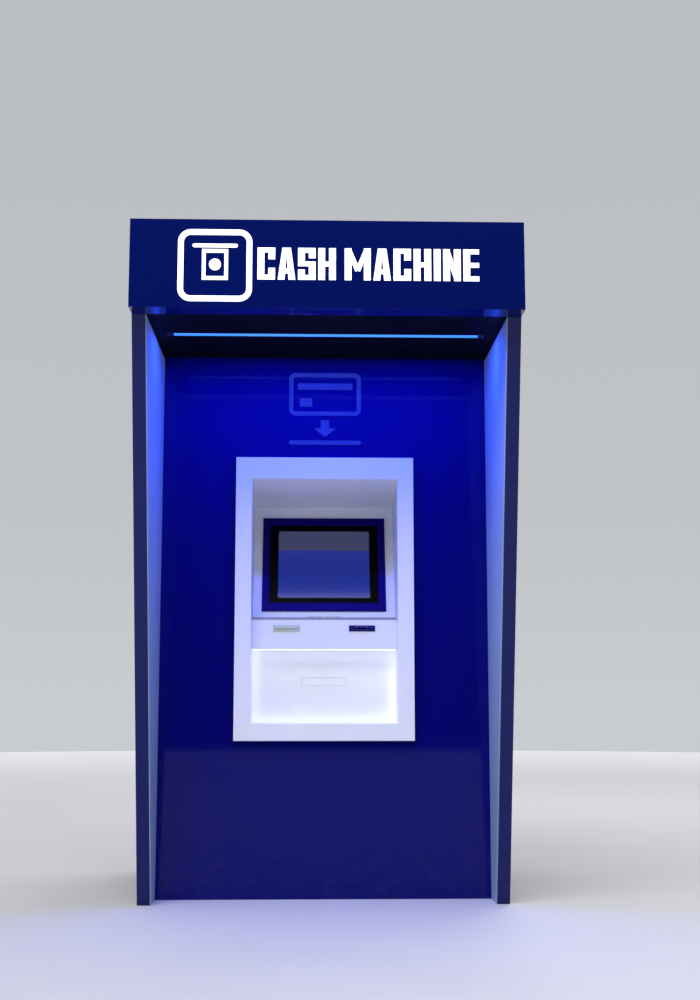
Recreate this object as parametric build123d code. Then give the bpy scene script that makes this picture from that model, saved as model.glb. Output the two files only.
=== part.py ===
from build123d import *
import math
import os

# Walk-up cash machine: a canopy housing with side fins, a header sign box and a
# through-the-wall machine behind the front wall.  Millimetres, +Z up, the front
# faces -Y, and the origin is on the floor at the middle of the whole footprint.

# ---------------------------------------------------------------- overall sizes
WIDTH = 1400.0  # over the side panels and the header
CANOPY_HEIGHT = 2128.0  # floor to the underside of the header
HEADER_HEIGHT = 321.0
HEADER_PROUD = 95.0  # header face ahead of the fins at their top
FIN_REACH_TOP = 665.0  # fins ahead of the front wall, under the header
FIN_REACH_FOOT = 141.0  # fins ahead of the front wall, at the floor
BODY_DEPTH = 937.0  # front wall to the rear edge of the side panels
HEADER_BEHIND_WALL = 60.0

# ---------------------------------------------------------------- sheet sizes
SIDE_THICKNESS = 52.0
SHEET = 2.0
LINER_SHEET = 3.0
LINER_INSET = 1.0  # side liner inside the outline of its panel
RIB_COUNT = 3
WALL_FOLD = 25.0  # depth of the front wall's folded edges
ROOF_THICKNESS = 30.0
FACE_THICKNESS = 4.0  # header face panel
SIGN_PROUD = 3.0  # letters ahead of the header face
SIGN_BACK = 2.0  # letters behind the header face
SOFFIT_RISE = 7.0  # soffit above the header's lower edge
WALL_SIGN_THICKNESS = 2.0

# ---------------------------------------------------------------- soffit light
LIGHT_END_GAP = 58.0  # light's end to the side liner
LIGHT_FROM_FIN = 307.0  # back from the fins' front edge
LIGHT_WIDTH = 38.0
LIGHT_HEIGHT = 12.0
LIGHT_WALL = 1.2
DIFFUSER_THICKNESS = 2.0

# ---------------------------------------------------------------- plinth, floor
PLINTH_HEIGHT = 80.0
PLINTH_BEAM = 60.0
PLINTH_SHEET = 4.0
ANCHOR_RADIUS = 9.0
ANCHOR_SPACING_Y = 700.0
FLOOR_SHEET = 3.0
CABLE_RADIUS = 16.0
GLAND_WALL = 4.0
GLAND_HEIGHT = 30.0
GLAND_X = 420.0
GLAND_Y = 250.0

# ---------------------------------------------------------------- rear frame and door
DOOR_RECESS = 32.0  # door's outer face inside the side panels' rear edge
DOOR_THICKNESS = 25.0
DOOR_FRAME_GAP = 2.0
DOOR_EDGE_GAP = 8.0  # latch edge to the side liner
DOOR_BOTTOM_GAP = 7.0
DOOR_TOP_GAP = 8.0
POST_WIDTH = 50.0
POST_DEPTH = 40.0
POST_WALL = 3.0
HINGE_AXIS_IN = 10.0  # hinge axis inside the side liner
HINGE_EDGE_GAP = 10.0  # hinge axis to the door's edge
HINGE_RADIUS = 8.0
HINGE_PIN_RADIUS = 4.5
HINGE_HALF = 45.0  # height of one barrel half
HINGE_TAB = 6.0
HINGE_END = 210.0  # outer hinges in from the ends of the door
PIN_CLEARANCE = 0.05
BARREL_GAP = 0.5
TURN_CLEARANCE = 0.3

LOUVRE_COUNT = 9
LOUVRE_WIDTH = 240.0
LOUVRE_HEIGHT = 6.0
LOUVRE_PITCH = 14.0
LOUVRE_X = 0.0
INTAKE_RISE = 240.0  # intake louvres above the door's lower edge

HANDLE_IN = 80.0  # handle spindle in from the door's latch edge
HANDLE_Z = 1050.0
HANDLE_SPINDLE = 6.0
HANDLE_HUB = 11.0
HANDLE_LEVER = 120.0
HANDLE_LEVER_WIDTH = 20.0
HANDLE_LEVER_THICKNESS = 10.0
HANDLE_PLATE = (44.0, 4.0, 150.0)
CAM_LENGTH = 60.0
CAM_WIDTH = 18.0
CAM_THICKNESS = 8.0
CAM_BEHIND_DOOR = 16.0
CAM_SLOT_CLEARANCE = 4.0

# ---------------------------------------------------------------- ventilator on the rear door
FAN_DROP = 260.0  # fan below the door's upper edge
FAN_SIZE = 120.0
FAN_DEPTH = 25.0
FAN_BORE = 54.0
FAN_TIP = 51.0
FAN_HUB = 20.0
FAN_PIN = 3.0
FAN_BLADES = 7
FAN_STRUT = 6.0
FAN_BACK = 4.0
FAN_STRUT_ANGLES = (0, 60, 120)
FAN_ROTOR_GAP = 1.0  # rotor to the struts
FAN_ROTOR_REAR = 3.0  # rotor to the door's sheet
FAN_PIN_END_GAP = 0.5
FAN_BLADE = (22.0, 2.0)
FAN_BLADE_TWIST = 38.0
FAN_BLADE_ROOT = 1.0  # blade sunk in the hub and past the tip

# ---------------------------------------------------------------- machine fascia
FASCIA_HALF_WIDTH = 354.0
FASCIA_BOTTOM = 602.0
FASCIA_TOP = 1722.0
FASCIA_PROUD = 20.0
FASCIA_SHEET = 3.0
OPENING_HALF_WIDTH = 295.0
OPENING_BOTTOM = 669.0
OPENING_TOP = 1637.0
WALL_OPENING_MARGIN = 15.0  # wall cut-out outside the fascia's opening
LINER_WALL = 8.0  # moulded recess liner
RECESS_STEP = 5.0  # liner's cheeks inside the fascia's opening
ALCOVE_DEPTH = 140.0  # front wall plane to the lower panel
LOWER_PANEL_SHEET = 3.0

# ---------------------------------------------------------------- screen
SCREEN_HEIGHT = 1317.5
SCREEN_TILT = 20.0
SCREEN_PANEL_SHEET = 3.0
CUT_EXTRA = 1.0  # how far a cutting shape runs past the faces it cuts
SCREEN_PANEL_ABOVE = 262.0  # screen centre to the panel's top, along its slope
SCREEN_FRAME = (510.0, 425.0)
SCREEN_FRAME_PROUD = 8.0
BEZEL = (451.0, 356.0)
BEZEL_FRONT = 5.0
BEZEL_BACK = 6.0
BEZEL_CLEARANCE = 2.0  # bezel to the edge of the screen panel's cut-out
WINDOW = (383.0, 309.0)
WINDOW_CORNER = 8.0
WINDOW_FRONT = 3.0
WINDOW_CLEARANCE = 0.2
DISPLAY_MARGIN = 4.0
DISPLAY_DEPTH = 50.0

# ---------------------------------------------------------------- console and keypad
CONSOLE_BEHIND_WALL = 60.0
CONSOLE_BOTTOM = 962.0
CONSOLE_TOP = 1077.0
CONSOLE_SHEET = 3.0
SHELF_THICKNESS = 11.0
SHELF_DEPTH = 107.8  # keypad shelf, from the console's front
SHELF_SIDE_GAP = 4.0
SHELF_BACK_GAP = 2.0
PAD_MARGIN = (8.5, 6.25)  # keypad body around its keys
PAD_CLEARANCE = 1.0
PAD_PROUD = 2.0
PAD_DEPTH = 55.0
PAD_LAP = 3.0  # keypad flange on the shelf, past its cut-out
KEY_COLUMNS = 4
KEY_ROWS = 4
KEY_SIZE = (24.0, 15.5)
KEY_PITCH = (31.0, 22.0)
KEY_CLEARANCE = 0.35
KEY_PROUD = 4.0
KEY_POCKET = 12.0
KEY_TRAVEL = 2.5
KEY_FLOOR_GAP = 1.0
KEY_CHAMFER = 1.0

# ---------------------------------------------------------------- card reader and printer
BEZEL_X = 151.0
SLOT_BEZEL = (105.0, 24.0)
SLOT_BEZEL_Z = 1043.0
SLOT_BEZEL_PROUD = 4.0
SLOT_BEZEL_LAP = 4.0
SLOT_BEZEL_CHAMFER = 1.5
CARD_SLOT = (58.0, 5.0)
CARD_SLOT_DEPTH = 60.0
RECEIPT_SLOT = (84.0, 5.0)
RECEIPT_SLOT_DEPTH = 40.0
MODULE_GAP = 2.0  # module body behind the console's front sheet
CARD_READER_BODY = (88.0, 190.0, 54.0)
PRINTER_BODY = (96.0, 120.0, 52.0)
ROLL_RADIUS = 38.0
ROLL_WIDTH = 80.0
ROLL_CORE = 12.6
ROLL_SPINDLE_CLEARANCE = 0.08
ROLL_SIDE_GAP = 1.0
ROLL_CHEEK = 4.0
ROLL_DROP = 50.0  # spindle below the slot
ROLL_BEHIND_BODY = 62.0

# ---------------------------------------------------------------- cash outlet
OUTLET_Z = 815.0  # lower edge of the cash outlet
OUTLET_SIZE = (180.0, 34.0)
SHUTTER_GAP = 0.8
SHUTTER_TOP_GAP = 1.2  # room for the flap's upper edge as it swings in
SHUTTER_PIN = 2.0
SHUTTER_PIN_BACK = 4.0  # pin behind the lower panel
SHUTTER_PIN_UP = 3.0  # pin above the outlet's lower edge
SHUTTER_EAR = 6.0
SHUTTER_WEB = 3.0
SHUTTER_THICKNESS = 3.0

# ---------------------------------------------------------------- safe
SAFE_HALF_WIDTH = 300.0
SAFE_HEIGHT = 800.0
SAFE_BEHIND_WALL = 225.0
SAFE_WALL = 12.0
SAFE_FRONT_WALL = 15.0
SAFE_DOOR_BEHIND = 95.0  # safe door's outer face ahead of the rear door's outer face
SAFE_DOOR_THICKNESS = 29.6
SAFE_DOOR_GAP = 0.4
SAFE_DOOR_PLATE = 12.0
SAFE_DOOR_RIM = 20.0
SAFE_DOOR_EDGE = 2.0
SAFE_HINGE_OUT = 10.0
SAFE_HINGE_RADIUS = 9.0
SAFE_HINGE_PIN = 5.0
SAFE_HINGE_HALF = 50.0
SAFE_HINGE_END = 160.0  # hinges in from the ends of the safe
KEEPER_THICKNESS = 12.0
KEEPER_DEPTH = 72.0
BOLT_RADIUS = 7.0
BOLT_HOLE_CLEARANCE = 0.8
BOLT_LENGTH = 66.0
BOLT_SPACING = 230.0
BOLT_BAR = 12.0
SAFE_KNOB_X = 150.0
SAFE_KNOB_RISE = 117.0  # knob above the middle bolt
SAFE_KNOB_HUB = 16.0
SAFE_KNOB_SPINDLE = 8.0
SAFE_KNOB_SPOKE = 62.0
SAFE_KNOB_DEPTH = 34.0
SAFE_KNOB_SPOKES = 3
SAFE_KNOB_BAR = 6.0
SAFE_KNOB_BALL = 8.0

# ---------------------------------------------------------------- dispenser and cassettes
CASSETTE = (250.0, 400.0, 130.0)
CASSETTE_COUNT = 4
CASSETTE_PITCH = 158.0
CASSETTE_X = 25.0
CASSETTE_LOW = 22.0  # lowest cassette above the safe's floor
CASSETTE_DOOR_GAP = 24.0  # cassette handles to the safe door
CASSETTE_RAIL = 14.0
CASSETTE_CLEARANCE = 1.0
CASSETTE_HANDLE = (120.0, 12.0, 30.0)
CASSETTE_ROUND = 4.0
CASSETTE_STOP_GAP = 4.0  # cassette to the dispenser's front plate
DISPENSER_PLATE = 3.0
PRESENTER = (160.0, 60.0)
PRESENTER_GAP = 20.0  # presenter nose behind the shutter's sweep
PRESENTER_SLOT_CLEARANCE = 5.0

# ---------------------------------------------------------------- chassis and computer
CHASSIS_SHEET = 4.0
CHASSIS_SIDE = 3.0
CHASSIS_SIDE_DEPTH = 200.0
CHASSIS_DROP = 77.0  # side plates' top below the fascia's opening
CHASSIS_FRONT_GAP = 4.0
CHASSIS_REAR_GAP = 30.0
CHASSIS_BRACE = 20.0
COMPUTER = (300.0, 300.0, 330.0)
COMPUTER_REAR_GAP = 60.0

# ---------------------------------------------------------------- sign
WORDS = "CASH MACHINE"
LETTERS_RISE = 102.0  # letters' feet above the header's lower edge
LETTER_HEIGHT = 116.0
LETTER_WIDTHS = {"I": 24.0, "E": 56.0, "M": 92.0}
LETTER_WIDTH = 62.0  # every other letter
LETTER_STROKE = 24.0
LETTER_BAR = 17.0  # level and slanting strokes
LETTER_GAP = 9.5
WORD_SPACE = 22.0
C_MOUTH = (42.0, 74.0)
S_END = 37.0
A_CROWN = 15.0
A_BELT = 23.0
A_BELT_INSET = 19.0
M_DIP = 35.0
SIGN_OFFSET = 4.0  # middle of the badge and words to the right of the header's middle
EMBLEM_SIZE = 262.0
EMBLEM_RISE = 152.0  # badge's middle above the header's lower edge
EMBLEM_GAP = 19.0  # badge to the first letter
EMBLEM_RING = 20.0
EMBLEM_CORNER = 46.0
EMBLEM_SLOT = 160.0
NOTE_SIZE = (92.0, 112.0)
NOTE_LINE = 13.0
NOTE_COIN = 21.0
WALL_SIGN_CARD = (290.0, 176.0)
WALL_SIGN_LINE = 17.0
WALL_SIGN_CORNER = 26.0
WALL_SIGN_STRIPE = (222.0, 26.0)
WALL_SIGN_STRIPE_RISE = 32.0  # stripe's middle above the card's middle
WALL_SIGN_CHIP = (50.0, 34.0)
WALL_SIGN_CHIP_PLACE = (-77.0, -34.0)
WALL_SIGN_ARROW_GAP = 18.0  # card to the arrow
WALL_SIGN_ARROW = (44.0, 34.0, 36.0)  # half width, length of the stem, length of the head
WALL_SIGN_SLOT_GAP = 14.0  # arrow's tip to the slot

# ---------------------------------------------------------------- places worked out from the sizes
HALF_WIDTH = WIDTH / 2
LINER_X = HALF_WIDTH - SIDE_THICKNESS  # inner face of the side liners
LIGHT_HALF_LENGTH = LINER_X - LIGHT_END_GAP
DEPTH = SIGN_PROUD + HEADER_PROUD + FIN_REACH_TOP + BODY_DEPTH
FACE_Y = -DEPTH / 2 + SIGN_PROUD
FIN_TOP_Y = FACE_Y + HEADER_PROUD
WALL_Y = FIN_TOP_Y + FIN_REACH_TOP
FIN_FOOT_Y = WALL_Y - FIN_REACH_FOOT
REAR_Y = WALL_Y + BODY_DEPTH
HEADER_BACK_Y = WALL_Y + HEADER_BEHIND_WALL
TOP_Z = CANOPY_HEIGHT + HEADER_HEIGHT
SOFFIT_Z = CANOPY_HEIGHT + SOFFIT_RISE
FLOOR_Z = PLINTH_HEIGHT + FLOOR_SHEET

DOOR_Y = REAR_Y - DOOR_RECESS  # outer face of the rear door
DOOR_INNER_Y = DOOR_Y - DOOR_THICKNESS
POST_REAR_Y = DOOR_INNER_Y - DOOR_FRAME_GAP
POST_FRONT_Y = POST_REAR_Y - POST_DEPTH
HINGE_X = -LINER_X + HINGE_AXIS_IN
DOOR_LEFT = HINGE_X + HINGE_EDGE_GAP
DOOR_RIGHT = LINER_X - DOOR_EDGE_GAP
DOOR_BOTTOM = FLOOR_Z + DOOR_BOTTOM_GAP
DOOR_TOP = CANOPY_HEIGHT - DOOR_TOP_GAP
HINGE_HEIGHTS = (DOOR_BOTTOM + HINGE_END, (DOOR_BOTTOM + DOOR_TOP) / 2, DOOR_TOP - HINGE_END)
INTAKE_Z = DOOR_BOTTOM + INTAKE_RISE
FAN_Z = DOOR_TOP - FAN_DROP
HANDLE_X = DOOR_RIGHT - HANDLE_IN
CAM_REAR_Y = DOOR_INNER_Y - CAM_BEHIND_DOOR

SAFE_TOP = FLOOR_Z + SAFE_HEIGHT
SAFE_FRONT_Y = WALL_Y + SAFE_BEHIND_WALL
SAFE_DOOR_Y = DOOR_Y - SAFE_DOOR_BEHIND
SAFE_BODY_REAR_Y = SAFE_DOOR_Y - SAFE_DOOR_THICKNESS - SAFE_DOOR_GAP
SAFE_HINGE_X = -SAFE_HALF_WIDTH - SAFE_HINGE_OUT
SAFE_DOOR_LEFT = -SAFE_HALF_WIDTH + SAFE_DOOR_EDGE
SAFE_DOOR_RIGHT = SAFE_HALF_WIDTH - SAFE_DOOR_EDGE
SAFE_HINGE_HEIGHTS = (FLOOR_Z + SAFE_HINGE_END, SAFE_TOP - SAFE_HINGE_END)
SAFE_MIDDLE_Z = (FLOOR_Z + SAFE_TOP) / 2
BOLT_HEIGHTS = (SAFE_MIDDLE_Z - BOLT_SPACING, SAFE_MIDDLE_Z, SAFE_MIDDLE_Z + BOLT_SPACING)
SAFE_KNOB_Z = SAFE_MIDDLE_Z + SAFE_KNOB_RISE
CHASSIS_TOP = OPENING_TOP - CHASSIS_DROP

CHEEK_X = OPENING_HALF_WIDTH - RECESS_STEP  # inner face of the recess cheeks
RECESS_FRONT_Y = WALL_Y - FASCIA_PROUD + FASCIA_SHEET
CONSOLE_Y = WALL_Y + CONSOLE_BEHIND_WALL
LOWER_PANEL_Y = WALL_Y + ALCOVE_DEPTH
LINER_BACK_Y = LOWER_PANEL_Y + LOWER_PANEL_SHEET
SHELF_TOP = CONSOLE_TOP + SHELF_THICKNESS
SCREEN_SIN = math.sin(math.radians(SCREEN_TILT))
SCREEN_COS = math.cos(math.radians(SCREEN_TILT))
SCREEN_PANEL_BELOW = (
    SCREEN_HEIGHT - SHELF_TOP - SCREEN_PANEL_SHEET * SCREEN_SIN
) / SCREEN_COS
SHELF_BACK_Y = CONSOLE_Y + SHELF_DEPTH
SCREEN_FOOT_Y = SHELF_BACK_Y + SHELF_BACK_GAP
SCREEN_Y = SCREEN_FOOT_Y + SCREEN_PANEL_BELOW * SCREEN_SIN
SCREEN_PLANE = Plane(
    origin=(0, SCREEN_Y, SCREEN_HEIGHT),
    x_dir=(1, 0, 0),
    z_dir=(0, -SCREEN_COS, SCREEN_SIN),
)
HOOD_BACK_Y = SCREEN_Y + SCREEN_PANEL_ABOVE * SCREEN_SIN
HOOD_BACK_Z = SCREEN_HEIGHT + SCREEN_PANEL_ABOVE * SCREEN_COS
PAD_SIZE = (
    (KEY_COLUMNS - 1) * KEY_PITCH[0] + KEY_SIZE[0] + 2 * PAD_MARGIN[0],
    (KEY_ROWS - 1) * KEY_PITCH[1] + KEY_SIZE[1] + 2 * PAD_MARGIN[1],
)
PAD_Y = (CONSOLE_Y + SHELF_BACK_Y) / 2
PAD_TOP = SHELF_TOP + PAD_PROUD
ROLL_Y = CONSOLE_Y + CONSOLE_SHEET + MODULE_GAP + PRINTER_BODY[1] + ROLL_BEHIND_BODY
ROLL_Z = SLOT_BEZEL_Z - ROLL_DROP
OUTLET_TOP = OUTLET_Z + OUTLET_SIZE[1]
SHUTTER_PIN_Y = LOWER_PANEL_Y + LOWER_PANEL_SHEET + SHUTTER_PIN_BACK
SHUTTER_PIN_Z = OUTLET_Z + SHUTTER_PIN_UP
LETTERS_Z = CANOPY_HEIGHT + LETTERS_RISE
EMBLEM_Z = CANOPY_HEIGHT + EMBLEM_RISE
WALL_SIGN_Z = (FASCIA_TOP + CANOPY_HEIGHT) / 2  # middle of the wall left above the fascia


# ---------------------------------------------------------------- helpers
def block(x, y, z):
    """A box between the two ends given for each direction."""
    size = Box(x[1] - x[0], y[1] - y[0], z[1] - z[0])
    return Pos((x[0] + x[1]) / 2, (y[0] + y[1]) / 2, (z[0] + z[1]) / 2) * size


def centred(x, y, z, size):
    """A box of the given size around a point."""
    return Pos(x, y, z) * Box(*size)


def rod_x(x, y, z, radius):
    """A cylinder along X between the two ends in x."""
    return Pos((x[0] + x[1]) / 2, y, z) * Rot(0, 90, 0) * Cylinder(radius, x[1] - x[0])


def rod_y(x, y, z, radius):
    """A cylinder along Y between the two ends in y."""
    return Pos(x, (y[0] + y[1]) / 2, z) * Rot(90, 0, 0) * Cylinder(radius, y[1] - y[0])


def rod_z(x, y, z, radius):
    """A cylinder along Z between the two ends in z."""
    return Pos(x, y, (z[0] + z[1]) / 2) * Cylinder(radius, z[1] - z[0])


def outline(points):
    return make_face(Polyline(*points, close=True))


def side_profile(face, x):
    """A profile drawn in Y and Z, made solid between the two ends in x."""
    return extrude(Plane.YZ.offset(x[0]) * face, amount=x[1] - x[0])


def front_profile(face, y):
    """A profile drawn in X and Z, made solid between the two ends in y."""
    return extrude(Plane.XZ.offset(-y[1]) * face, amount=y[1] - y[0])


def screen_block(size, front, back):
    """A box on the screen's slope, from back to front along its normal."""
    return SCREEN_PLANE * Pos(0, 0, (front + back) / 2) * Box(size[0], size[1], front - back)


def mirrored(part, left):
    return mirror(part, Plane.YZ) if left else part


def save(node, *solids):
    """Write one node; several solids stay separate solids in it."""
    pieces = []
    for solid in solids:
        pieces.extend(solid.solids())
    shape = pieces[0] if len(pieces) == 1 else Compound(children=pieces)
    shape.label = node
    export_step(shape, "parts/" + node + ".step")


# ---------------------------------------------------------------- housing
def plinth():
    """Four C-beams; the two along Y carry the floor anchors in their lower flanges."""
    front, rear = WALL_Y + WALL_FOLD, DOOR_Y
    beams = []
    for side in (-1, 1):
        outer, inner = side * LINER_X, side * (LINER_X - PLINTH_BEAM)
        x = (min(outer, inner), max(outer, inner))
        beam = block(x, (front, rear), (0, PLINTH_HEIGHT))
        hollow_x = (x[0] + PLINTH_SHEET, x[1]) if side < 0 else (x[0], x[1] - PLINTH_SHEET)
        beam -= block(hollow_x, (front, rear), (PLINTH_SHEET, PLINTH_HEIGHT - PLINTH_SHEET))
        for end in (-1, 1):
            y = (front + rear) / 2 + end * ANCHOR_SPACING_Y / 2
            beam -= rod_z((x[0] + x[1]) / 2, y, (0, PLINTH_SHEET), ANCHOR_RADIUS)
        beams.append(beam)
    x = (-LINER_X + PLINTH_BEAM, LINER_X - PLINTH_BEAM)
    for y0, open_front in ((front, False), (rear - PLINTH_BEAM, True)):
        beam = block(x, (y0, y0 + PLINTH_BEAM), (0, PLINTH_HEIGHT))
        hollow = (y0, y0 + PLINTH_BEAM - PLINTH_SHEET) if open_front else (
            y0 + PLINTH_SHEET, y0 + PLINTH_BEAM)
        beam -= block(x, hollow, (PLINTH_SHEET, PLINTH_HEIGHT - PLINTH_SHEET))
        beams.append(beam)
    save("plinth", *beams)


def floor_pan():
    """Floor sheet with the mains cable's gland welded in it."""
    pan = block((-LINER_X, LINER_X), (WALL_Y + WALL_FOLD, POST_REAR_Y), (PLINTH_HEIGHT, FLOOR_Z))
    pan += rod_z(GLAND_X, GLAND_Y, (FLOOR_Z - GLAND_HEIGHT, FLOOR_Z), CABLE_RADIUS + GLAND_WALL)
    pan -= rod_z(GLAND_X, GLAND_Y, (FLOOR_Z - GLAND_HEIGHT, FLOOR_Z), CABLE_RADIUS)
    save("floor_pan", pan)


def side_outline():
    return outline([
        (FIN_FOOT_Y, 0),
        (REAR_Y, 0),
        (REAR_Y, CANOPY_HEIGHT),
        (FIN_TOP_Y, CANOPY_HEIGHT),
    ])


def inset(face, distance):
    return offset(face, amount=-distance, kind=Kind.INTERSECTION)


def side_panel(name, left):
    """Folded outer pan of a fin and side wall, with ribs, open to the inside."""
    mouth_x = LINER_X + LINER_SHEET
    hollow = side_profile(inset(side_outline(), SHEET), (mouth_x, HALF_WIDTH - SHEET))
    pan = side_profile(side_outline(), (mouth_x, HALF_WIDTH)) - hollow
    for number in range(RIB_COUNT):
        height = CANOPY_HEIGHT * (number + 1) / (RIB_COUNT + 1)
        rib = block((mouth_x, HALF_WIDTH), (FIN_TOP_Y, REAR_Y), (height, height + SHEET))
        pan += rib & hollow
    save(name, mirrored(pan, left))


def side_liner(name, left):
    """White inner sheet that closes a side panel."""
    sheet = side_profile(inset(side_outline(), LINER_INSET), (LINER_X, LINER_X + LINER_SHEET))
    save(name, mirrored(sheet, left))


def front_wall():
    """Folded front wall with the cut-out for the machine."""
    x = (-LINER_X, LINER_X)
    wall = block(x, (WALL_Y, WALL_Y + WALL_FOLD), (0, SOFFIT_Z))
    wall -= block(
        (x[0] + SHEET, x[1] - SHEET),
        (WALL_Y + SHEET, WALL_Y + WALL_FOLD),
        (SHEET, SOFFIT_Z - SHEET),
    )
    half = OPENING_HALF_WIDTH + WALL_OPENING_MARGIN
    low, high = OPENING_BOTTOM - WALL_OPENING_MARGIN, OPENING_TOP + WALL_OPENING_MARGIN
    collar = block(
        (-half - SHEET, half + SHEET),
        (WALL_Y, WALL_Y + WALL_FOLD),
        (low - SHEET, high + SHEET),
    )
    wall += collar
    wall -= block((-half, half), (WALL_Y, WALL_Y + WALL_FOLD), (low, high))
    save("front_wall", wall)


def roof_panel():
    """Folded roof sheet behind the header."""
    y = (HEADER_BACK_Y, REAR_Y)
    top = CANOPY_HEIGHT + ROOF_THICKNESS
    roof = block((-HALF_WIDTH, HALF_WIDTH), y, (CANOPY_HEIGHT, top))
    roof -= block(
        (-HALF_WIDTH + SHEET, HALF_WIDTH - SHEET),
        (y[0] + SHEET, y[1] - SHEET),
        (CANOPY_HEIGHT, top - SHEET),
    )
    save("roof_panel", roof)


def header_box():
    """Sign box: open in front for its face, cut away below for the soffit."""
    x = (-HALF_WIDTH, HALF_WIDTH)
    y = (FACE_Y + FACE_THICKNESS, HEADER_BACK_Y)
    shell = block(x, y, (CANOPY_HEIGHT, TOP_Z))
    shell -= block(
        (x[0] + SHEET, x[1] - SHEET),
        (y[0], y[1] - SHEET),
        (CANOPY_HEIGHT + SHEET, TOP_Z - SHEET),
    )
    lip = block(
        (-LINER_X - SHEET, LINER_X + SHEET),
        (FIN_TOP_Y - SHEET, HEADER_BACK_Y),
        (CANOPY_HEIGHT, SOFFIT_Z),
    )
    shell += lip
    shell -= block(
        (-LINER_X, LINER_X), (FIN_TOP_Y, HEADER_BACK_Y - SHEET), (CANOPY_HEIGHT, SOFFIT_Z)
    )
    save("header_box", shell)


def stroke(start, end):
    """A slanting bar of a letter between two points."""
    length = math.dist(start, end)
    px = -(end[1] - start[1]) / length * LETTER_BAR / 2
    pz = (end[0] - start[0]) / length * LETTER_BAR / 2
    return outline([
        (start[0] + px, start[1] + pz),
        (start[0] - px, start[1] - pz),
        (end[0] - px, end[1] - pz),
        (end[0] + px, end[1] + pz),
    ])


def area(x0, z0, x1, z1):
    return outline([(x0, z0), (x1, z0), (x1, z1), (x0, z1)])


def letter_width(sign):
    return LETTER_WIDTHS.get(sign, LETTER_WIDTH)


def letter(sign):
    """The face of one capital of plain bars, with its left foot at zero."""
    high, bar, level, wide = LETTER_HEIGHT, LETTER_STROKE, LETTER_BAR, letter_width(sign)
    middle = (high - level) / 2
    left = area(0, 0, bar, high)
    right = area(wide - bar, 0, wide, high)
    top = area(0, high - level, wide, high)
    foot = area(0, 0, wide, level)
    waist = area(0, middle, wide, middle + level)
    limits = area(0, 0, wide, high)
    if sign == "I":
        return left
    if sign == "H":
        return left + right + waist
    if sign == "E":
        return left + top + foot + waist
    if sign == "C":
        return left + top + foot + right - area(wide - bar, C_MOUTH[0], wide, C_MOUTH[1])
    if sign == "S":
        upper = area(0, middle, bar, high) + area(wide - bar, high - S_END, wide, high)
        lower = area(wide - bar, 0, wide, middle + level) + area(0, 0, bar, S_END)
        return upper + lower + top + foot + waist
    if sign == "A":
        legs = outline([
            (0, 0), (wide / 2 - A_CROWN, high), (wide / 2 + A_CROWN, high), (wide, 0),
            (wide - bar, 0), (wide / 2, high - bar), (bar, 0),
        ])
        return legs + area(A_BELT_INSET, A_BELT, wide - A_BELT_INSET, A_BELT + level)
    if sign == "M":
        dip = (wide / 2, M_DIP)
        vee = stroke((bar / 2, high), dip) + stroke((wide - bar / 2, high), dip)
        return left + right + (vee & limits)
    slope = stroke((bar / 2, high), (wide - bar / 2, 0))
    return left + right + (slope & limits)


def words_width():
    """Length of the words, from the first letter's foot to the last one's."""
    letters = [sign for sign in WORDS if sign != " "]
    gaps = (len(letters) - 1) * LETTER_GAP + WORDS.count(" ") * WORD_SPACE
    return sum(letter_width(sign) for sign in letters) + gaps


def badge(x):
    """A banknote coming out of a slot, in a rounded frame."""
    ring = RectangleRounded(EMBLEM_SIZE, EMBLEM_SIZE, EMBLEM_CORNER)
    inner = EMBLEM_SIZE - 2 * EMBLEM_RING
    ring -= RectangleRounded(inner, inner, EMBLEM_CORNER - EMBLEM_RING)
    slot_z = inner / 2 - 3 * NOTE_LINE
    slot = Pos(0, slot_z) * SlotOverall(EMBLEM_SLOT, NOTE_LINE)
    note_z = slot_z - NOTE_LINE - NOTE_SIZE[1] / 2
    note = Rectangle(*NOTE_SIZE)
    note -= Rectangle(NOTE_SIZE[0] - 2 * NOTE_LINE, NOTE_SIZE[1] - 2 * NOTE_LINE)
    parts = (ring, slot, Pos(0, note_z) * note, Pos(0, note_z) * Circle(NOTE_COIN))
    return [Pos(x, EMBLEM_Z) * part for part in parts]


def sign_faces():
    """Outlines of the badge and of the words after it, together about the header's middle."""
    left = SIGN_OFFSET - (EMBLEM_SIZE + EMBLEM_GAP + words_width()) / 2
    faces = badge(left + EMBLEM_SIZE / 2)
    x = left + EMBLEM_SIZE + EMBLEM_GAP
    for sign in WORDS:
        if sign == " ":
            x += WORD_SPACE
            continue
        faces.append(Pos(x, LETTERS_Z) * letter(sign))
        x += letter_width(sign) + LETTER_GAP
    return faces


def header_sign():
    """Face panel with its cut letters, and the opal letters pushed through it."""
    face = block(
        (-HALF_WIDTH, HALF_WIDTH), (FACE_Y, FACE_Y + FACE_THICKNESS), (CANOPY_HEIGHT, TOP_Z)
    )
    letters = []
    for shape in sign_faces():
        face -= front_profile(shape, (FACE_Y, FACE_Y + FACE_THICKNESS))
        letters.append(
            front_profile(shape, (FACE_Y - SIGN_PROUD, FACE_Y + FACE_THICKNESS + SIGN_BACK))
        )
    save("header_face", face)
    save("sign_letters", *letters)


def light_x(margin):
    return (-LIGHT_HALF_LENGTH + margin, LIGHT_HALF_LENGTH - margin)


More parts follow.
